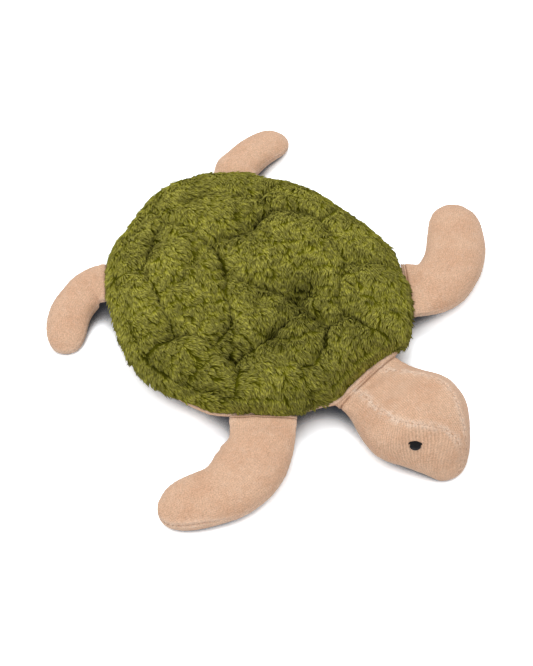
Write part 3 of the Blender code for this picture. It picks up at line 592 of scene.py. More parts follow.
def shell_rows():
    """Rings of the shell's ground cloth from the crown to the seam, with marks for the pile."""
    b = body_sizes()
    angles = np.linspace(0.0, TAU, SHELL_AROUND, endpoint=False)
    rim = rim_plan(angles)
    scale = np.array([b.half_width, b.half_length])
    quilt_lines = [np.array(line) / 100.0 * scale for line in QUILT_SEAMS]
    rows, painted_shade_marks, length_marks, flows = [], [], [], []
    # the ring seam is pulled deepest at the tail and the right side
    ring_pull = 0.25 + 0.75 * ease((np.cos(angles - math.radians(142.0)) - 0.12) / 0.5)
    for share in np.sin(np.linspace(0.012, 1.0, SHELL_RINGS) * math.pi / 2.0):
        flat = rim * share

        def spot(u, v, size):
            return np.exp(-((flat - np.array([u, v]) / 100.0 * scale) ** 2).sum(1) / size ** 2)

        radius = np.hypot(*flat.T)
        outward = flat / np.maximum(radius, 1e-6)[:, None]
        row = on_floor(flat)
        sway = 0.0016 * lumps(row, 0.020, 5)
        ring = np.abs(share - RING_SEAM_SHARE) * radius / max(share, 1e-6) + np.abs(sway)
        swayed = flat + np.column_stack([sway, -sway])
        quilt = np.min([line_distance(swayed, line) for line in quilt_lines], axis=0)
        rise = b.dome_height * max(0.0, 1.0 - share ** b.dome_exponent) ** (1.0 / b.dome_exponent)
        fade, edge = ease((1.0 - share) / 0.10), ease((1.0 - share) / 0.30)
        # scutes puff up between the seams; the seams pull the cloth down in narrow valleys
        uneven = 0.85 + 0.70 * lumps(row, 0.034, 17)
        pull = np.clip(bell(quilt, 0.0020, 1.4) * uneven, 0.0, 1.1)
        ring_valley = bell(ring, 0.0028, 1.4) * ring_pull
        puff = 1.0 - bell(np.minimum(quilt, ring + 0.004 * (1.0 - ring_pull)), 0.0080, 1.3)
        dips = sum(depth * spot(u, v, size) for u, v, size, depth in QUILT_HOLLOWS)
        swells = sum(spot(u, v, PUFF_RADIUS) for u, v in QUILT_PUFFS)
        near_side = ease((-(flat @ TO_VIEWER) / b.half_length - 0.10) / 0.55)
        swell, crease = lumps(row, 0.034, 3), lumps(row, 0.014, 11, 3) * (1.0 + 0.45 * near_side)
        lift = (0.0044 * (puff - 0.55) - b.seam_depth * pull + 0.0016 * swells + 0.0013 * swell + 0.0026 * crease
                - 1.9 * dips)
        height = b.seam_height + rise + lift * (0.35 * fade + 0.65 * edge * fade) + 0.0022 * (1.0 - edge) * fade
        height -= 0.0030 * ring_valley
        # the cloth bulges over the rim seam, less where the near front flipper and the neck are sewn on
        neck = facing(outward, HEAD_ANGLE - 2.0, 0.22)
        flipper = facing(outward, 178.0 + FRONT_ANGLE, 0.26)
        limbs = np.max([facing(outward, direction, 0.12) for direction in LIMB_ANGLES[1:]], axis=0)
        swollen = ease((rise - 0.0022 * limbs) / 0.0030) * (1.0 - ease((rise - 0.010) / 0.011))
        reach = by_direction(LIP_REACH, outward) + 0.0011 * swell + 0.0007 * crease
        reach = reach * (1.0 - np.maximum(neck, 0.74 * flipper)) * (1.0 - 0.25 * limbs) * swollen
        neck = np.maximum(neck, 0.6 * facing(outward, -157.0, 0.12)) * ease((share - 0.93) / 0.06)
        # painted shade: darker along the quilt seams and the ring seam, in the hollows and on the side towards the
        # viewer; painted light: lighter on the puffs and swells, where the creases rise, and by the neck
        painted_shade_marks.append(np.clip(
            0.08 + 0.44 * pull * fade + 0.5 * ring_valley + 210.0 * dips * edge - 0.20 * swells - 0.30 * swell
            + 0.34 * near_side - 0.20 * crease - 0.25 * neck, 0.0, 1.0))
        length_marks.append(1.0 - 0.18 * np.maximum(pull, ring_valley) * fade
                            - neck * 0.22 * (1.0 + lumps(row, 0.005, 29)))
        flows.append(pile_flow(row, outward, share, neck))
        row[:, :2] += outward * reach[:, None]
        row[:, 2] = np.maximum(height, b.seam_height - 0.0002)
        rows.append(bulged(row, float(ease((share - 0.72) / 0.26))))
    return rows, painted_shade_marks, length_marks, flows


def pile_flow(spots, outward, share, neck):
    """Direction in which the pile lies: brushed to the front and the right side, and over the rim at the edge."""
    half_length = body_sizes().half_length
    right = (spots[:, :2] @ TO_RIGHT) / half_length
    near = -(spots[:, :2] @ TO_VIEWER) / half_length
    angle = -100.0 - 36.0 * ease((right + 0.45) / 0.8) + 62.0 * ease((near - 0.45) / 0.5)
    angle = angle + 38.0 * lumps(spots, 0.028, 21) + 34.0 * lumps(spots, 0.009, 25)
    edge = 0.45 * ease((share - 0.86) / 0.12) * (1.0 - 0.2 * neck)
    over = np.column_stack([outward, -0.9 * float(ease((share - 0.95) / 0.04)) * (1.0 - 0.7 * neck)])
    return unit(heading(angle) * (1.0 - edge)[:, None] + over * edge[:, None])


def pile_tree(material):
    """Geometry Nodes that stand tapered, curved locks of pile on a ground cloth."""
    g, start = geometry_graph("Long Pile", Density="Float", Lock_Length="Float", Lock_Width="Float", Lift="Float",
                              Clumping="Float", Seed="Int")
    seed = start["Seed"]
    # one lock, standing up Z, one unit long and half a unit in radius
    cone = g.out("GeometryNodeMeshCone", {"Vertices": 3, "Side Segments": 3, "Radius Top": 0.0, "Radius Bottom": 0.5,
                                          "Depth": 1.0}, fill_type="NONE")
    spot = g.out("GeometryNodeInputPosition")
    x, y, z = g.parts(spot)
    belly = g.add("ShaderNodeFloatCurve", {"Value": z})
    curve = belly.mapping.curves[0]
    for place in ((0.30, 1.0), (0.62, 0.88), (0.86, 0.56)):
        curve.points.new(*place)
    curve.points[0].location = (0.0, 0.55)
    curve.points[-1].location = (1.0, 0.10)
    belly.mapping.update()
    # the cone's own taper is undone: its radius at height z is half of 1 - z
    wide = g.calc("DIVIDE", belly.outputs[0], g.calc("MAXIMUM", g.calc("SUBTRACT", 1.0, z), 0.04))
    shaped = g.joined(g.product(x, wide), g.product(y, g.product(wide, 0.62)), z)
    lock = g.out("GeometryNodeSetPosition", {"Geometry": cone, "Position": shaped})
    lock = g.store(lock, "lock_reach", z)
    lock = g.store(lock, "lock_place", g.vector("MULTIPLY", spot, (5.0, 5.0, 0.6)), "FLOAT_VECTOR")
    lock = g.out("GeometryNodeSetShadeSmooth", {"Geometry": lock, "Shade Smooth": True})
    # roots, spread evenly
    roots = g.add("GeometryNodeDistributePointsOnFaces", {
        "Mesh": start["Geometry"], "Density": start["Density"], "Seed": seed}, distribute_method="RANDOM")
    points, normal = roots.outputs["Points"], roots.outputs["Normal"]
    # tufts, 5 mm across: the locks of each lean to its middle, and each tuft lies and stands a little its own way
    cell = g.add("ShaderNodeTexVoronoi", {"Vector": spot, "Scale": TUFTS_PER_METRE, "Randomness": 1.0})
    cell = cell.outputs["Position"]
    chance = g.add("ShaderNodeTexWhiteNoise", {"Vector": cell}, noise_dimensions="3D").outputs["Color"]
    swing, stand, tuft_tone = g.parts(chance)
    lean = g.scaled(g.vector("SUBTRACT", cell, spot), g.product(start["Clumping"], TUFTS_PER_METRE))
    stray = g.out("FunctionNodeRandomValue", {"Min": (-0.14, -0.14, -0.10), "Max": (0.14, 0.14, 0.12), "Seed": seed},
                  data_type="FLOAT_VECTOR")
    # the lie follows the cloth
    flow = g.named("pile_flow", "FLOAT_VECTOR")
    level = g.vector("SUBTRACT", flow, g.vector("PROJECT", flow, normal))
    level = g.out("ShaderNodeVectorRotate", {
        "Vector": level, "Axis": normal, "Angle": g.spread(swing, 0.0, 1.0, -0.36, 0.36)}, rotation_type="AXIS_ANGLE")
    way = g.vector("NORMALIZE", level)
    up = g.scaled(normal, g.product(start["Lift"], g.spread(stand, 0.0, 1.0, 0.81, 1.19)))
    for part in (up, lean, stray):
        way = g.vector("ADD", way, part)
    turn = g.out("FunctionNodeAlignRotationToVector", {"Vector": way}, axis="Z")
    turn = g.out("FunctionNodeAlignRotationToVector", {"Rotation": turn, "Vector": normal}, axis="Y", pivot_axis="Z")
    some = g.chance(0.72, 1.18, seed)
    long = g.product(start["Lock Length"], g.named("pile_length"), some)
    broad = g.product(start["Lock Width"], some)
    # shading normals lean up, so that the pile under the rim's turn keeps some light
    points = g.store(points, "cloth_normal", g.vector("ADD", normal, (0.0, 0.0, 0.5)), "FLOAT_VECTOR")
    points = g.store(points, "tuft_tone", tuft_tone)
    points = g.store(points, "droop_way", normal, "FLOAT_VECTOR")
    points = g.out("GeometryNodeSetPosition", {"Geometry": points, "Offset": g.scaled(normal, -0.0009)})
    locks = g.out("GeometryNodeInstanceOnPoints", {
        "Points": points, "Instance": lock, "Rotation": turn, "Scale": g.joined(broad, broad, long)})
    tone = {0: 0.20, 2: g.chance(0.0, 1.0, 3), 3: g.named("tuft_tone")}
    locks = g.store(locks, "lock_tone", g.out("ShaderNodeMix", tone, data_type="FLOAT"), domain="INSTANCE")
    real = g.out("GeometryNodeRealizeInstances", {"Geometry": locks})
    # each lock curls over, back towards the cloth
    stands = g.product(start["Lock Length"], start["Lift"])
    curl = g.product(g.calc("POWER", g.named("lock_reach"), CURL_POWER), stands, -CURL_SHARE)
    droop = g.scaled(g.named("droop_way", "FLOAT_VECTOR"), curl)
    return g.finish(g.out("GeometryNodeSetPosition", {"Geometry": real, "Offset": droop}), material)


def build_shell():
    b, p = body_sizes(), bpy.context.scene.turtle_pile
    rows, painted_shades, lengths, flows = shell_rows()
    foot = rows[-1].copy()
    foot[:, 2] = b.seam_height - 0.0004
    under = [foot * np.array([s, s, 1.0]) for s in (0.97, 0.5, 0.05)]
    blank = [np.zeros(len(foot))] * len(under)
    crown_flow = np.array([[0.0, -1.0, 0.0]])
    mesh = grid_mesh("shell_cover_plush", rows + under,
                     marks={"pile_depth": painted_shades + blank, "pile_length": lengths + blank})
    mark(mesh, "pile_flow", np.concatenate(flows + [np.tile(UP, (3 * len(foot), 1)), crown_flow, UP[None]]))
    normals = np.array([tuple(n.vector) for n in mesh.vertex_normals], np.float32)
    mark(mesh, "cloth_normal", normals + np.array([0.0, 0.0, 0.5], np.float32))
    # between the locks the cloth shows their short under-pile
    mark(mesh, "lock_place", np.array([tuple(v.co) for v in mesh.vertices], np.float32) * 1100.0)
    # painted shade: the cloth between the locks takes the dark colour of a lock's root
    mark(mesh, "lock_reach", 0.18)
    mark(mesh, "lock_tone", 0.40)
    piece = add_piece("shell_cover_plush", mesh, "acrylic long-pile plush")
    # no lock stands on the closed underside
    cover = grid_mesh("shell_ground_cloth", rows, end=False, marks={"pile_depth": painted_shades, "pile_length": lengths})
    mark(cover, "pile_flow", np.concatenate(flows + [crown_flow]))
    cover = add_piece("shell_ground_cloth", cover, "acrylic long-pile plush")
    run_tree(cover, pile_tree(mesh.materials[0]), {
        "Density": p.density, "Lock Length": p.length, "Lock Width": p.width, "Lift": p.lift, "Clumping": p.clump,
        "Seed": p.seed})
    both = [piece, cover]
    with bpy.context.temp_override(active_object=piece, object=piece, selected_objects=both,
                                   selected_editable_objects=both):
        bpy.ops.object.join()
    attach(piece, "body")
    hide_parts("shell_cover", "body_stuffing")


# Belly and rim

def build_belly():
    """The belly panel: a shallow velour bowl, flat where it rests."""
    seam_height = body_sizes().seam_height
    around = 280
    rim = rim_plan(np.linspace(0.0, TAU, around, endpoint=False))
    rows, marks = [], []
    depth = seam_height + 0.0005

    def bowl(height):
        return (1.0 - ((seam_height - height) / depth) ** 3.0) ** (1.0 / 3.0)

    spans = [(s * bowl(0.0) / 0.76, 0.0) for s in (0.02, 0.12, 0.25, 0.40, 0.55, 0.66, 0.74)]
    spans += [(bowl(h), h) for h in seam_height * np.sin(np.linspace(0.0, 1.0, 30) * math.pi / 2.0) ** 1.5]
    for share, height in spans:
        ring = np.column_stack([rim * share, np.full(around, height)])
        # painted sheen near the rim seam
        near = bell((1.0 - share) * 110.0, 2.6) if share > 0.9 else 0.0
        rise = ease(height / 0.006) * (1.0 - ease((height - seam_height + 0.002) / 0.002))
        ring = bulged(ring, float(ease((height - 0.006) / 0.012)))
        if rise > 0.0:
            out = 0.0006 * lumps(ring, 0.028, 91) + 0.0003 * lumps(ring * np.array([1, 1, 0.3]), 0.008, 95)
            ring[:, :2] *= (1.0 + rise * out / 0.11)[:, None]
        rows.append(ring)
        marks.append(np.full(around, near))
    top = rows[-1].copy()
    top[:, 2] = seam_height
    rows += [top * np.array([s, s, 1.0]) for s in (0.96, 0.4, 0.03)]
    marks += [np.zeros(around)] * 3
    uvs = [np.concatenate([r, r[:1]])[:, :2] for r in rows]
    piece = add_piece("belly_skin", grid_mesh("belly_skin", rows, uv=uvs, marks={"seam_near": marks}), VELOUR)
    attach(piece, "body")
    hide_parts("belly_panel")


def build_welt():
    """The rolled velour edge between shell and belly, waved by its stitches."""
    around, count = 420, 16
    rim = bulged(rim_plan(np.linspace(0.0, TAU, around, endpoint=False), 0.0001))
    step = np.roll(rim, -1, 0) - np.roll(rim, 1, 0)
    outward = unit(np.column_stack([step[:, 1], -step[:, 0]]))
    spots = on_floor(rim)
    wave = lumps(spots, 0.009, 51) + 0.5 * lumps(spots, 0.0035, 53)
    radius = by_direction(WELT_RADIUS, rim / np.hypot(*rim.T)[:, None])
    rim = rim + outward * radius[:, None]
    middle = body_sizes().seam_height + 0.6 * (radius - radius.min()) + 0.0004 * wave
    tall, wide = radius * (1.0 + 0.20 * wave), radius * (1.0 + 0.16 * np.roll(wave, 37))
    run = run_length(np.concatenate([rim, rim[:1]]))
    rows, uvs, marks = [], [], []
    for k in range(count):
        turn = TAU * k / count
        reach = outward * (wide * math.cos(turn))[:, None]
        rows.append(np.column_stack([rim + reach, middle + tall * math.sin(turn)]))
        # painted sheen on the upper half of the rolled edge
        marks.append(np.full(around, max(0.0, math.sin(turn)) * 0.6))
        uvs.append(np.column_stack([run, np.full(around + 1, k * 0.0008)]))
    mesh = grid_mesh("rim_welt_roll", rows, False, False, True, uvs, {"seam_near": marks})
    piece = add_piece("rim_welt_roll", mesh, VELOUR)
    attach(piece, "body")
    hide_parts("rim_welt")


# Threads

THREAD_SIDES = 6


def thread_tree(name):
    """Geometry Nodes that turn lines into a thread: small stitches along their edges, or one long satin strand."""
    satin = name == "Satin Stitch"
    sizes = {} if satin else {"Pitch": "Float", "Stitch_Length": "Float"}
    g, start = geometry_graph(name, **sizes, Thread_Width="Float", Thread="Material")
    path = g.out("GeometryNodeMeshToCurve", {"Mesh": start["Geometry"]})
    if satin:
        strand = {"Resolution": THREAD_SIDES, "Radius": start["Thread Width"]}
        strand = g.out("GeometryNodeCurvePrimitiveCircle", strand, mode="RADIUS")
        body = g.out("GeometryNodeCurveToMesh", {"Curve": path, "Profile Curve": strand, "Fill Caps": True})
    else:
        body = g.out("GeometryNodeMeshUVSphere", {"Segments": THREAD_SIDES, "Rings": 4, "Radius": 0.5})
    laid = g.out("GeometryNodeSetShadeSmooth", {"Geometry": body, "Shade Smooth": True})
    if not satin:
        even = g.out("GeometryNodeResampleCurve", {"Curve": path, "Length": start["Pitch"]}, mode="LENGTH")
        turn = g.out("FunctionNodeAlignRotationToVector", {"Vector": g.out("GeometryNodeInputTangent")}, axis="Z")
        size = g.joined(start["Thread Width"], start["Thread Width"], start["Stitch Length"])
        placed = {"Points": even, "Instance": laid, "Rotation": turn, "Scale": size}
        laid = g.out("GeometryNodeInstanceOnPoints", placed)
    return g.finish(g.out("GeometryNodeRealizeInstances", {"Geometry": laid}), start["Thread"])


def thread_piece(name, paths, tree_name, thread, **values):
    """A piece of thread along each path."""
    points, edges = [], []
    for path in paths:
        edges += [(len(points) + i, len(points) + i + 1) for i in range(len(path) - 1)]
        points += [tuple(p) for p in path]
    mesh = bpy.data.meshes.new(name)
    mesh.from_pydata(points, edges, [])
    tree = bpy.data.node_groups.get(tree_name) or thread_tree(tree_name)
    values = {title.replace("_", " "): value for title, value in values.items()}
    return run_tree(add_piece(name, mesh), tree, {**values, "Thread": bpy.data.materials[thread]})


# Limbs: how each lies, from its root hinge to its tip

LIMB_POWER = 2.0 / 2.2
# a limb's root is this thin, starts this far inside the body's seam and is full this far past it
ROOT_WALL, ROOT_TUCK, FILL_LENGTH = 0.0019, 0.0014, 0.0085
TIP_START = 0.80
RESTING_SHARE = 0.21
PANEL_POINTS = 56


def tapered(size, stations, shares, share):
    """Half of a limb's width or height, closed in a round tip."""
    part = np.clip((share - TIP_START) / (1.0 - TIP_START), 0.0, 1.0)
    return size / 2.0 * smooth_table(stations, shares, share) * math.sqrt(max(0.0, 1.0 - part * part))


def angle_gap(angles, middle):
    return np.abs((angles - middle + 180.0) % 360.0 - 180.0)


class Limb:
    """A soft limb: its middle line from the root hinge to the tip, half its width and height, its seams' angles from
    straight up at a share of its length, and how its surface moves in and out for seams, lumps and gathers."""

    def __init__(self, direction, root_radius, offset, length, thickness, turn):
        b = body_sizes()
        self.outward = heading(direction)
        self.sideways = np.array([-self.outward[1], self.outward[0], 0.0])
        middle, reach = limb_touch(direction)
        self.hinge = (self.outward * (reach + 2.0 * b.welt_radius + 0.0006 + root_radius)
                      + self.sideways * (middle @ self.sideways[:2] + offset))
        self.hinge[2] = b.seam_height
        self.steps = np.linspace(0.0, 1.0, 401)
        ways = heading(direction + turn(0.5 * (self.steps[1:] + self.steps[:-1])))
        self.run = np.concatenate([[np.zeros(3)], np.cumsum(ways * length / 400.0, 0)])
        self.direction, self.root_radius, self.turn = direction, root_radius, turn
        self.length, self.thickness = length, thickness

    def station(self, share):
        """The middle at a share of the length, and the direction to the side."""
        centre = self.hinge + np.stack([np.interp(share, self.steps, self.run[:, i]) for i in range(3)], -1)
        seam_height = body_sizes().seam_height
        rest = max(self.plain_height(share), self.thickness * RESTING_SHARE) + 0.0008
        centre[2] = seam_height + (rest - seam_height) * ease(share / 0.34)
        forward = heading(self.direction + self.turn(share))
        side = np.array([-forward[1], forward[0], 0.0])
        return centre + side * self.lean(share), side

    def ring(self, centre, side, half_width, half_height, angles, seams, share):
        """Points round the limb, the directions out of its skin, and how near each is to a seam."""
        sine, cosine = np.sin(np.radians(angles))[:, None], np.cos(np.radians(angles))[:, None]
        points = centre[None] + (-side[None] * (half_width * signed_power(sine, LIMB_POWER))
                                 + UP[None] * (half_height * signed_power(cosine, LIMB_POWER)))
        normal = unit(-side[None] * (sine / max(half_width, 1e-4)) + UP[None] * (cosine / max(half_height, 1e-4)))
        out, near = self.shaper(share, angles, seams, points, half_width, half_height)
        return points, normal, out, near


def limb_skin(name, limb, shares, count, uv_turns, fold_at=0.0019):
    """A limb's skin and the lines of its seams; shares says how wide each panel is."""
    seam_place = float((bulged(limb.hinge[None])[0] - limb.hinge) @ limb.outward) - limb.root_radius - 0.0010
    body_end = 1.0 - (1.0 - np.linspace(0.0, 1.0, count)) ** 1.35
    body_end = np.unique(np.concatenate([body_end, np.linspace(0.0, (fold_at + 0.0036) / limb.length, 11)]))
    per_panel = [max(12, int(round(PANEL_POINTS * p))) for p in shares]
    rows, uvs, seam_rows, folds, lines = [], [], [], [], []
    along, last = 0.0, None
    for rooted, value in [(True, v) for v in np.linspace(0.0, 1.0, 9)[:-1]] + [(False, v) for v in body_end]:
        share = 0.0 if rooted else value
        half_width, half_height = limb.half_width(share), limb.half_height(share)
        if rooted:
            # inside the body's rim, up to the hinge
            place = (seam_place - ROOT_TUCK) * (1.0 - value)
            centre, side = limb.hinge + limb.outward * place, limb.sideways
            squeeze = 1.0 + 0.03 * (1.0 - value) ** 2
            half_width, half_height = half_width * squeeze, half_height * squeeze
        else:
            centre, side = limb.station(share)
            place = share * limb.length
        # flat where it is sewn in, and full a finger's width further on
        filled = math.sqrt(1.0 - (1.0 - min(1.0, max(0.0, (place - seam_place) / FILL_LENGTH))) ** 2)
        half_height = min(half_height, ROOT_WALL) + max(0.0, half_height - ROOT_WALL) * filled
        seams = limb.seams(share)
        angles = []
        for k, points in enumerate(per_panel):
            first, after = seams[k], seams[(k + 1) % len(seams)]
            after = after + 360.0 if after <= first else after
            # closer together at the seams
            t = np.arange(points) / points
            angles.append(first + (after - first) * (t - 0.45 * np.sin(TAU * t) / TAU))
        angles = np.concatenate(angles)
        ring, normal, out, near = limb.ring(centre, side, half_width, half_height, angles, seams, share)
        # the seam allowance rolls over beside the root seam
        past = place - seam_place + 0.0006 * lumps(ring, 0.010, 61)
        out = out + 0.0005 * bell(past - fold_at + 0.0012, 0.0007) - 0.0006 * bell(past - fold_at, 0.0006)
        ring = ring + normal * out[:, None]
        along += 0.0 if last is None else np.linalg.norm(centre - last)
        last = centre
        rows.append(ring)
        seam_rows.append(near)
        # painted shade in the fold beside the root seam, and a little at the seam itself
        at_seam = ease(1.0 - np.maximum(0.0, past) / 0.0007)
        folds.append(np.maximum(0.9 * bell(past - fold_at, 0.0006), 0.3 * at_seam))
        # cloth coordinates: each panel is measured from its own middle, so its ribs run straight
        step = run_length(np.concatenate([ring, ring[:1]]))
        uv = np.zeros((len(step), 2))
        firsts = np.cumsum([0] + per_panel[:-1])
        for k, (first, points, tilt) in enumerate(zip(firsts, per_panel, uv_turns)):
            span = slice(first, first + points + 1)
            u = step[span] - 0.5 * (step[first] + step[first + points])
            uv[span, 0] = u * math.cos(tilt) - along * math.sin(tilt) + 0.5 * k
            uv[span, 1] = u * math.sin(tilt) + along * math.cos(tilt)
        uvs.append(uv)
        lines.append(ring[firsts])
    return grid_mesh(name, rows, uv=uvs, marks={"seam_near": seam_rows, "root_fold": folds}), np.array(lines)


def sew_limb(body, mesh, lines, nodes, pitch, length, width):
    """Pieces for a limb's skin and stitches; the cloth follows the body at the root and the limb past its hinge."""
    piece = add_piece(body + "_skin", mesh, VELOUR)
    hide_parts(*nodes)
    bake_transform(piece)
    paths = [lines[7:-3, k] for k in range(lines.shape[1])]
    stitches = thread_piece(body + "_seam_stitches", paths, "Seam Stitches", SEAM_THREAD, Pitch=pitch,
                            Stitch_Length=length, Thread_Width=width)
    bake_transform(stitches)


# Flippers

FLIPPER_AT = (0.0, 0.08, 0.18, 0.32, 0.48, 0.63, 0.76, 0.87, 0.94, 1.0)
FLIPPER_WIDTHS = (1.02, 0.97, 0.95, 0.93, 0.93, 0.92, 0.87, 0.80, 0.79, 0.79)
FLIPPER_HEIGHTS = (0.42, 0.66, 0.90, 1.0, 0.98, 0.87, 0.74, 0.66, 0.66, 0.68)
FLIPPER_ROOT = 0.0052
FLIPPER_STITCH = 0.004
FLIPPERS = {
    # root direction, length, width, thickness, first turn, sweep and the share of the length it takes, fullness
    # inside the bend, and by how many degrees the seam of the leading edge rolls up towards the tip
    "front_right_flipper": (180.0 + FRONT_ANGLE, 0.1205, 0.051, 0.027, 5.0, -77.5, 0.72, 0.0062, 22.0),
    "front_left_flipper": (-FRONT_ANGLE, 0.120, 0.051, 0.027, 31.0, 53.0, 0.72, 0.0, 0.0),
    "rear_right_flipper": (180.0 - REAR_ANGLE, 0.073, 0.0355, 0.021, 37.0, 50.0, 0.85, 0.0, 0.0),
    "rear_left_flipper": (REAR_ANGLE, 0.073, 0.0355, 0.021, -31.0, -22.0, 0.85, 0.0, 0.0),
}


class Flipper(Limb):
    def __init__(self, name):
        direction, length, self.width, thickness, first, sweep, span, self.fullness, self.roll = FLIPPERS[name]
        self.seed = 31 + list(FLIPPERS).index(name)
        self.hand = math.copysign(1.0, sweep)
        super().__init__(direction, 0.005, 0.0, length, thickness, lambda share: (
            first * ease(np.asarray(share) / 0.30) + sweep * ease(np.asarray(share) / span)))

    def lean(self, share):
        return (0.5 * self.fullness * ease((share - 0.10) / 0.16) * (1.0 - ease((share - 0.42) / 0.24))) * self.hand

    def plain_height(self, share):
        return tapered(self.thickness, FLIPPER_AT, FLIPPER_HEIGHTS, share)

    def half_width(self, share):
        return max(0.0003, tapered(self.width, FLIPPER_AT, FLIPPER_WIDTHS, share) + abs(self.lean(share)))

    def half_height(self, share):
        plain = self.plain_height(share)
        return max(0.0003, FLIPPER_ROOT + (plain - FLIPPER_ROOT) * ease(share / 0.12) if share < 0.12 else plain)

    def seams(self, share):
        return -90.0 + self.roll * float(ease((share - 0.50) / 0.30)), 90.0

    def shaper(self, share, angles, seams, ring, half_width, half_height):
        size = 0.5 * (half_width + half_height)
        small = min(1.0, size / 0.006)
        out, near = np.zeros(len(angles)), np.zeros(len(angles))
        for seam in seams:
            # a narrow groove between two rolled lips, which stitches pull in
            gap = np.radians(angle_gap(angles, seam)) * half_height
            out += (-0.0011 * bell(gap, 0.00055) + 0.00055 * bell(gap - 0.0016, 0.0010)) * small
            pull = 0.5 + 0.5 * math.cos(TAU * share * self.length / FLIPPER_STITCH)
            out -= 0.00028 * pull * bell(gap, 0.0032) * small
            # painted sheen along the seams
            near = np.maximum(near, bell(gap, 0.0022))
        lumpy = 0.0007 * lumps(ring, 0.030, self.seed) + 0.00022 * lumps(ring, 0.009, self.seed + 5)
        gathers = 0.0005 * bell(share * self.length, 0.010)
        out += lumpy * min(1.0, size / 0.01)
        return out + gathers * lumps(ring * np.array([1.0, 1.0, 0.4]), 0.006, self.seed + 9), near


def build_flipper(name):
    limb = Flipper(name)
    mesh, lines = limb_skin(name + "_skin", limb, (1.0, 1.0), int(700 * limb.length) + 26, (0.0, 0.0))
    mark(mesh, "knit_show", 0.07)
    nodes = (name + "_top", name + "_bottom", name + "_stuffing")
    sew_limb(name, mesh, lines, nodes, FLIPPER_STITCH, 0.0017, 0.00042)


# Head

HEAD_LENGTH = 0.0953
HEAD_WIDTH = 0.0865
HEAD_THICKNESS = 0.0435
HEAD_STITCH = 0.0045
HEAD_AT = (0.0, 0.07, 0.18, 0.31, 0.44, 0.56, 0.68, 0.79, 0.885, 0.95, 1.0)
HEAD_WIDTHS = (0.74, 0.765, 0.86, 0.96, 1.0, 0.935, 0.772, 0.60, 0.475, 0.43, 0.41)
HEAD_HEIGHTS = (0.36, 0.56, 0.76, 0.93, 1.0, 0.99, 0.905, 0.77, 0.67, 0.65, 0.65)
HEAD_TURNS_AT = (0.0, 0.31, 0.44, 0.56, 0.68, 0.79, 0.885, 0.95, 1.0)
HEAD_TURNS = (-2.1, -2.1, -3.5, -7.3, -11.8, -15.4, -17.3, -17.5, -17.5)
HEAD_RIGHT_SEAM = (25.0, 28.0, 29.0, 29.0, 27.0, 20.0, 5.0, -15.0, -26.0, -30.0, -32.0)
HEAD_LEFT_SEAM = (-27.0, -32.0, -36.0, -39.0, -41.0, -41.0, -41.0, -44.0, -50.0, -55.0, -57.0)


class Head(Limb):
    def __init__(self):
        super().__init__(HEAD_ANGLE, 0.0075, -0.0038, HEAD_LENGTH, HEAD_THICKNESS,
                         lambda share: smooth_table(HEAD_TURNS_AT, HEAD_TURNS, np.asarray(share, float)))

    def lean(self, share):
        """The neck sits a little to the left of the head's middle line."""
        return 0.0004 * math.exp(-((share - 0.12) / 0.10) ** 2)

    def half_width(self, share):
        return max(0.0003, tapered(HEAD_WIDTH, HEAD_AT, HEAD_WIDTHS, share))

    def half_height(self, share):
        return max(0.0003, tapered(HEAD_THICKNESS, HEAD_AT, HEAD_HEIGHTS, share))

    plain_height = half_height

    def seams(self, share):
        return (*[float(smooth_table(HEAD_AT, seam, share)) for seam in (HEAD_LEFT_SEAM, HEAD_RIGHT_SEAM)], 180.0)

    def shaper(self, share, angles, seams, ring, half_width, half_height):
        size = 0.5 * (half_width + half_height)
        small = min(1.0, size / 0.008)
        out, near = np.zeros(len(angles)), np.zeros(len(angles))
        tip = ease((share - 0.80) / 0.12)
        for k, seam in enumerate(seams):
            gap = np.radians(angle_gap(angles, seam)) * size
            ruffle = 0.6 + 0.9 * lumps(ring, 0.0032, 61 + k)
            fade = 0.75 * (1.0 - tip) * small
            out += (-0.0006 * bell(gap, 0.0006) + 0.00042 * ruffle * bell(gap - 0.0013, 0.0012)) * fade
            if k < 2:
                # the brow: the crown panel stands proud of the cheek along its seam
                out += 0.0013 * bell(gap, 0.0058) * ease(share / 0.2) * (1.0 - ease((share - 0.82) / 0.15))
            pull = 0.5 + 0.5 * math.cos(TAU * share * HEAD_LENGTH / HEAD_STITCH)
            out -= 0.0003 * pull * bell(gap, 0.0035) * small
            # painted sheen along the seams, broken where the seam ruffles and fading towards the snout
            near = np.maximum(near, bell(gap, 0.0031) * np.clip(1.5 * ruffle, 0.0, 1.4) * (1.0 - 0.8 * tip))
        # hollow of the cheek under the brow, where the eye sits
        cheek = angle_gap(angles, 0.5 * (seams[1] + 100.0))
        out -= 0.0017 * bell(cheek, 26.0) * bell(share - 0.64, 0.16)
        out += (0.0008 * lumps(ring, 0.034, 71) + 0.00025 * lumps(ring, 0.010, 77)) * min(1.0, size / 0.012)
        gathers = 0.0007 * bell(share * HEAD_LENGTH, 0.010)
        return out + gathers * lumps(ring * np.array([1.0, 0.5, 0.4]), 0.007, 79), near

    def spot(self, share, angle):
        """A point of the surface and the axes there: along the head, round it and outwards."""
        def at(s, a):
            ring, normal, out, _ = self.ring(*self.station(s), self.half_width(s), self.half_height(s), np.array([a]),
                                             self.seams(s), s)
            return ring[0] + normal[0] * out[0]

        spot = at(share, angle)
        along = unit(at(share + 0.02, angle) - at(share - 0.02, angle))
        normal = unit(np.cross(at(share, angle + 4.0) - at(share, angle - 4.0), along))
        if normal @ (spot - self.station(share)[0]) < 0:
            normal = -normal
        return spot, along, np.cross(normal, along), normal


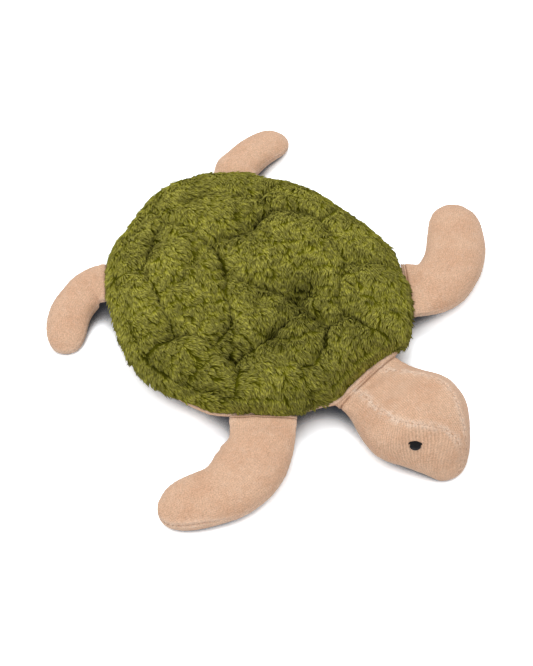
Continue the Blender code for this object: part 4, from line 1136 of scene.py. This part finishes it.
def build_head():
    limb = Head()
    mesh, lines = limb_skin("head_skin", limb, (0.75, 1.6, 1.6), 120, np.radians([18.0, 62.0, -62.0]), 0.0040)
    # the ribs run out towards the end of the snout
    forward = np.array([v.co.y for v in mesh.vertices], np.float32)
    mark(mesh, "knit_show", 0.19 * ease((forward - forward.min() - 0.003) / 0.014))
    nodes = ("head_top_panel", "head_right_panel", "head_left_panel", "head_stuffing")
    sew_limb("head", mesh, lines, nodes, HEAD_STITCH, 0.0019, 0.00045)


# Eyes

EYE_TURN = 31.0
EYE_HALF_LENGTH = 0.0044
EYE_UPPER, EYE_LOWER, EYE_PAD = 0.0031, 0.0039, 0.0010
EYE_THREADS = 25
THREAD_POINTS = 9


def build_eye(name, node, share, angle, turn):
    """Threads across the eye from its lower lid to its upper one, arched over a pad."""
    spot, along, across, normal = Head().spot(share, angle)
    if across[2] < 0.0:
        across = -across
    turn = math.radians(turn if angle > 0.0 else -turn)
    along, across = along * math.cos(turn) + across * math.sin(turn), across * math.cos(turn) - along * math.sin(turn)
    paths = []
    for i in range(EYE_THREADS):
        x = -1.13 + 2.18 * i / (EYE_THREADS - 1)
        upper = EYE_UPPER * max(0.0, 1.0 - abs(x / 1.22) ** 2.4) + 0.0007 * ease((abs(x) - 0.55) / 0.5)
        lower = -EYE_LOWER * math.sqrt(1.0 - x * x) if abs(x) < 0.93 else upper - 0.0009
        lower = min(lower, upper - 0.0007)
        pad = EYE_PAD * math.sqrt(max(0.0, 1.0 - min(1.0, (x / 1.2) ** 2)))
        paths.append([])
        for t in np.arange(THREAD_POINTS) / (THREAD_POINTS - 1):
            y = lower + (upper - lower) * t
            arch = pad * math.sin(math.pi * t) ** 0.5 + 0.00015
            # the side of the head falls away from the eye's middle
            sag = (x * EYE_HALF_LENGTH) ** 2 * 6.0 + y * y * 9.0
            paths[-1].append(spot + along * (x * EYE_HALF_LENGTH) + across * y + normal * (arch - sag))
    piece = thread_piece(name, paths, "Satin Stitch", EYE_THREAD, Thread_Width=0.00034)
    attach(piece, "head")
    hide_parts(node)


# Stage

# name, place, size and power: a large soft box above and a little behind the toy, and weak fills
LIGHTS = (("key", (0.38, 0.50, 1.25), 0.85, 9.2), ("fill", (-0.95, -0.25, 0.8), 0.9, 4.3),
          ("front", (0.45, -1.1, 0.8), 0.9, 1.9))


def place_object(name, data, place, back):
    """Put a camera or a light in the scene, looking against back."""
    made = add_piece(name, data)
    made.location = place
    made.rotation_euler = (-back).to_track_quat("-Z", "Y").to_euler()
    return made


def build_stage():
    """Camera at the photograph's angle, plain white floor and soft studio light."""
    scene, s = bpy.context.scene, bpy.context.scene.turtle_stage
    scene.view_settings.view_transform = "Standard"
    a, e = math.radians(s.azimuth), math.radians(s.elevation)
    back = Vector((math.sin(a) * math.cos(e), -math.cos(a) * math.cos(e), math.sin(e)))
    camera = bpy.data.cameras.new("camera")
    camera.lens = s.lens
    camera.sensor_width = 36.0
    scene.camera = place_object("camera", camera, Vector(s.aim) + back * s.distance, back)
    mesh = bpy.data.meshes.new("floor")
    mesh.from_pydata([(-6, -6, 0), (6, -6, 0), (6, 6, 0), (-6, 6, 0)], [], [(0, 1, 2, 3)])
    floor = add_piece("floor", mesh, new_material("white studio paper", paper_paint).name)
    scene.world = bpy.data.worlds.new("studio")
    scene.world.use_nodes = True
    sky = Graph(scene.world.node_tree)
    seen = sky.add("ShaderNodeLightPath").outputs["Is Camera Ray"]
    light = {"Color": (1.0, 1.0, 1.0, 1.0), "Strength": sky.spread(seen, 0.0, 1.0, 0.57, 1.0)}
    sky.add("ShaderNodeOutputWorld", {"Surface": sky.out("ShaderNodeBackground", light)})
    for name, place, size, power in LIGHTS:
        lamp = bpy.data.lights.new(name, "AREA")
        lamp.shape, lamp.size, lamp.energy = "DISK", size, power
        place_object(name, lamp, place, Vector(place) - Vector((0.0, 0.0, 0.02)))


# Build steps and panel

def build_eyes():
    build_eye("eye_right_satin", "eye_right", 0.705, 40.0, EYE_TURN)
    build_eye("eye_left_satin", "eye_left", 0.70, -110.0, -EYE_TURN)


def build_flippers():
    for name in FLIPPERS:
        build_flipper(name)


def build_step(key, label, text, *jobs):
    """An operator that runs its jobs."""
    def execute(self, context):
        for job in jobs:
            job()
        return {"FINISHED"}

    return type("TURTLE_OT_" + key, (bpy.types.Operator,), {
        "__doc__": text, "bl_idname": "turtle." + key, "bl_label": label, "execute": execute})


GROUPS = {"turtle_body": TurtleBody, "turtle_pile": TurtlePile, "turtle_colours": TurtleColours,
          "turtle_stage": TurtleStage}
STEPS = (
    build_step("stage", "Stage", "Set up the camera, the floor and the studio light", build_stage, build_materials),
    build_step("shell", "Shell Cover", "Build the quilted shell cover with its long pile", build_shell),
    build_step("belly", "Belly and Rim", "Build the belly panel and the rolled rim seam", build_belly, build_welt),
    build_step("head", "Head", "Build the head's three sewn panels", build_head),
    build_step("eyes", "Eyes", "Embroider both eyes", build_eyes),
    build_step("flippers", "Flippers", "Build the four flippers", build_flippers),
)


class TURTLE_PT_panel(bpy.types.Panel):
    """Sizes, colours and build steps of the plush turtle"""
    bl_idname = "TURTLE_PT_panel"
    bl_label = "Plush Turtle"
    bl_space_type = "VIEW_3D"
    bl_region_type = "UI"
    bl_category = "Turtle"

    def draw(self, context):
        for group in GROUPS:
            settings = getattr(context.scene, group)
            for key in settings.bl_rna.properties.keys():
                if key not in ("rna_type", "name"):
                    self.layout.prop(settings, key)
        for step in STEPS:
            self.layout.operator(step.bl_idname)


def register():
    for kind in (*GROUPS.values(), *STEPS, TURTLE_PT_panel):
        bpy.utils.register_class(kind)
    for name, kind in GROUPS.items():
        setattr(bpy.types.Scene, name, PointerProperty(type=kind))


def unregister():
    for name in GROUPS:
        delattr(bpy.types.Scene, name)
    for kind in reversed((*GROUPS.values(), *STEPS, TURTLE_PT_panel)):
        bpy.utils.unregister_class(kind)


def main():
    register()
    bpy.ops.turtle.stage()
    bpy.ops.turtle.shell()
    bpy.ops.turtle.belly()
    bpy.ops.turtle.head()
    bpy.ops.turtle.eyes()
    bpy.ops.turtle.flippers()


if __name__ == "__main__":
    main()
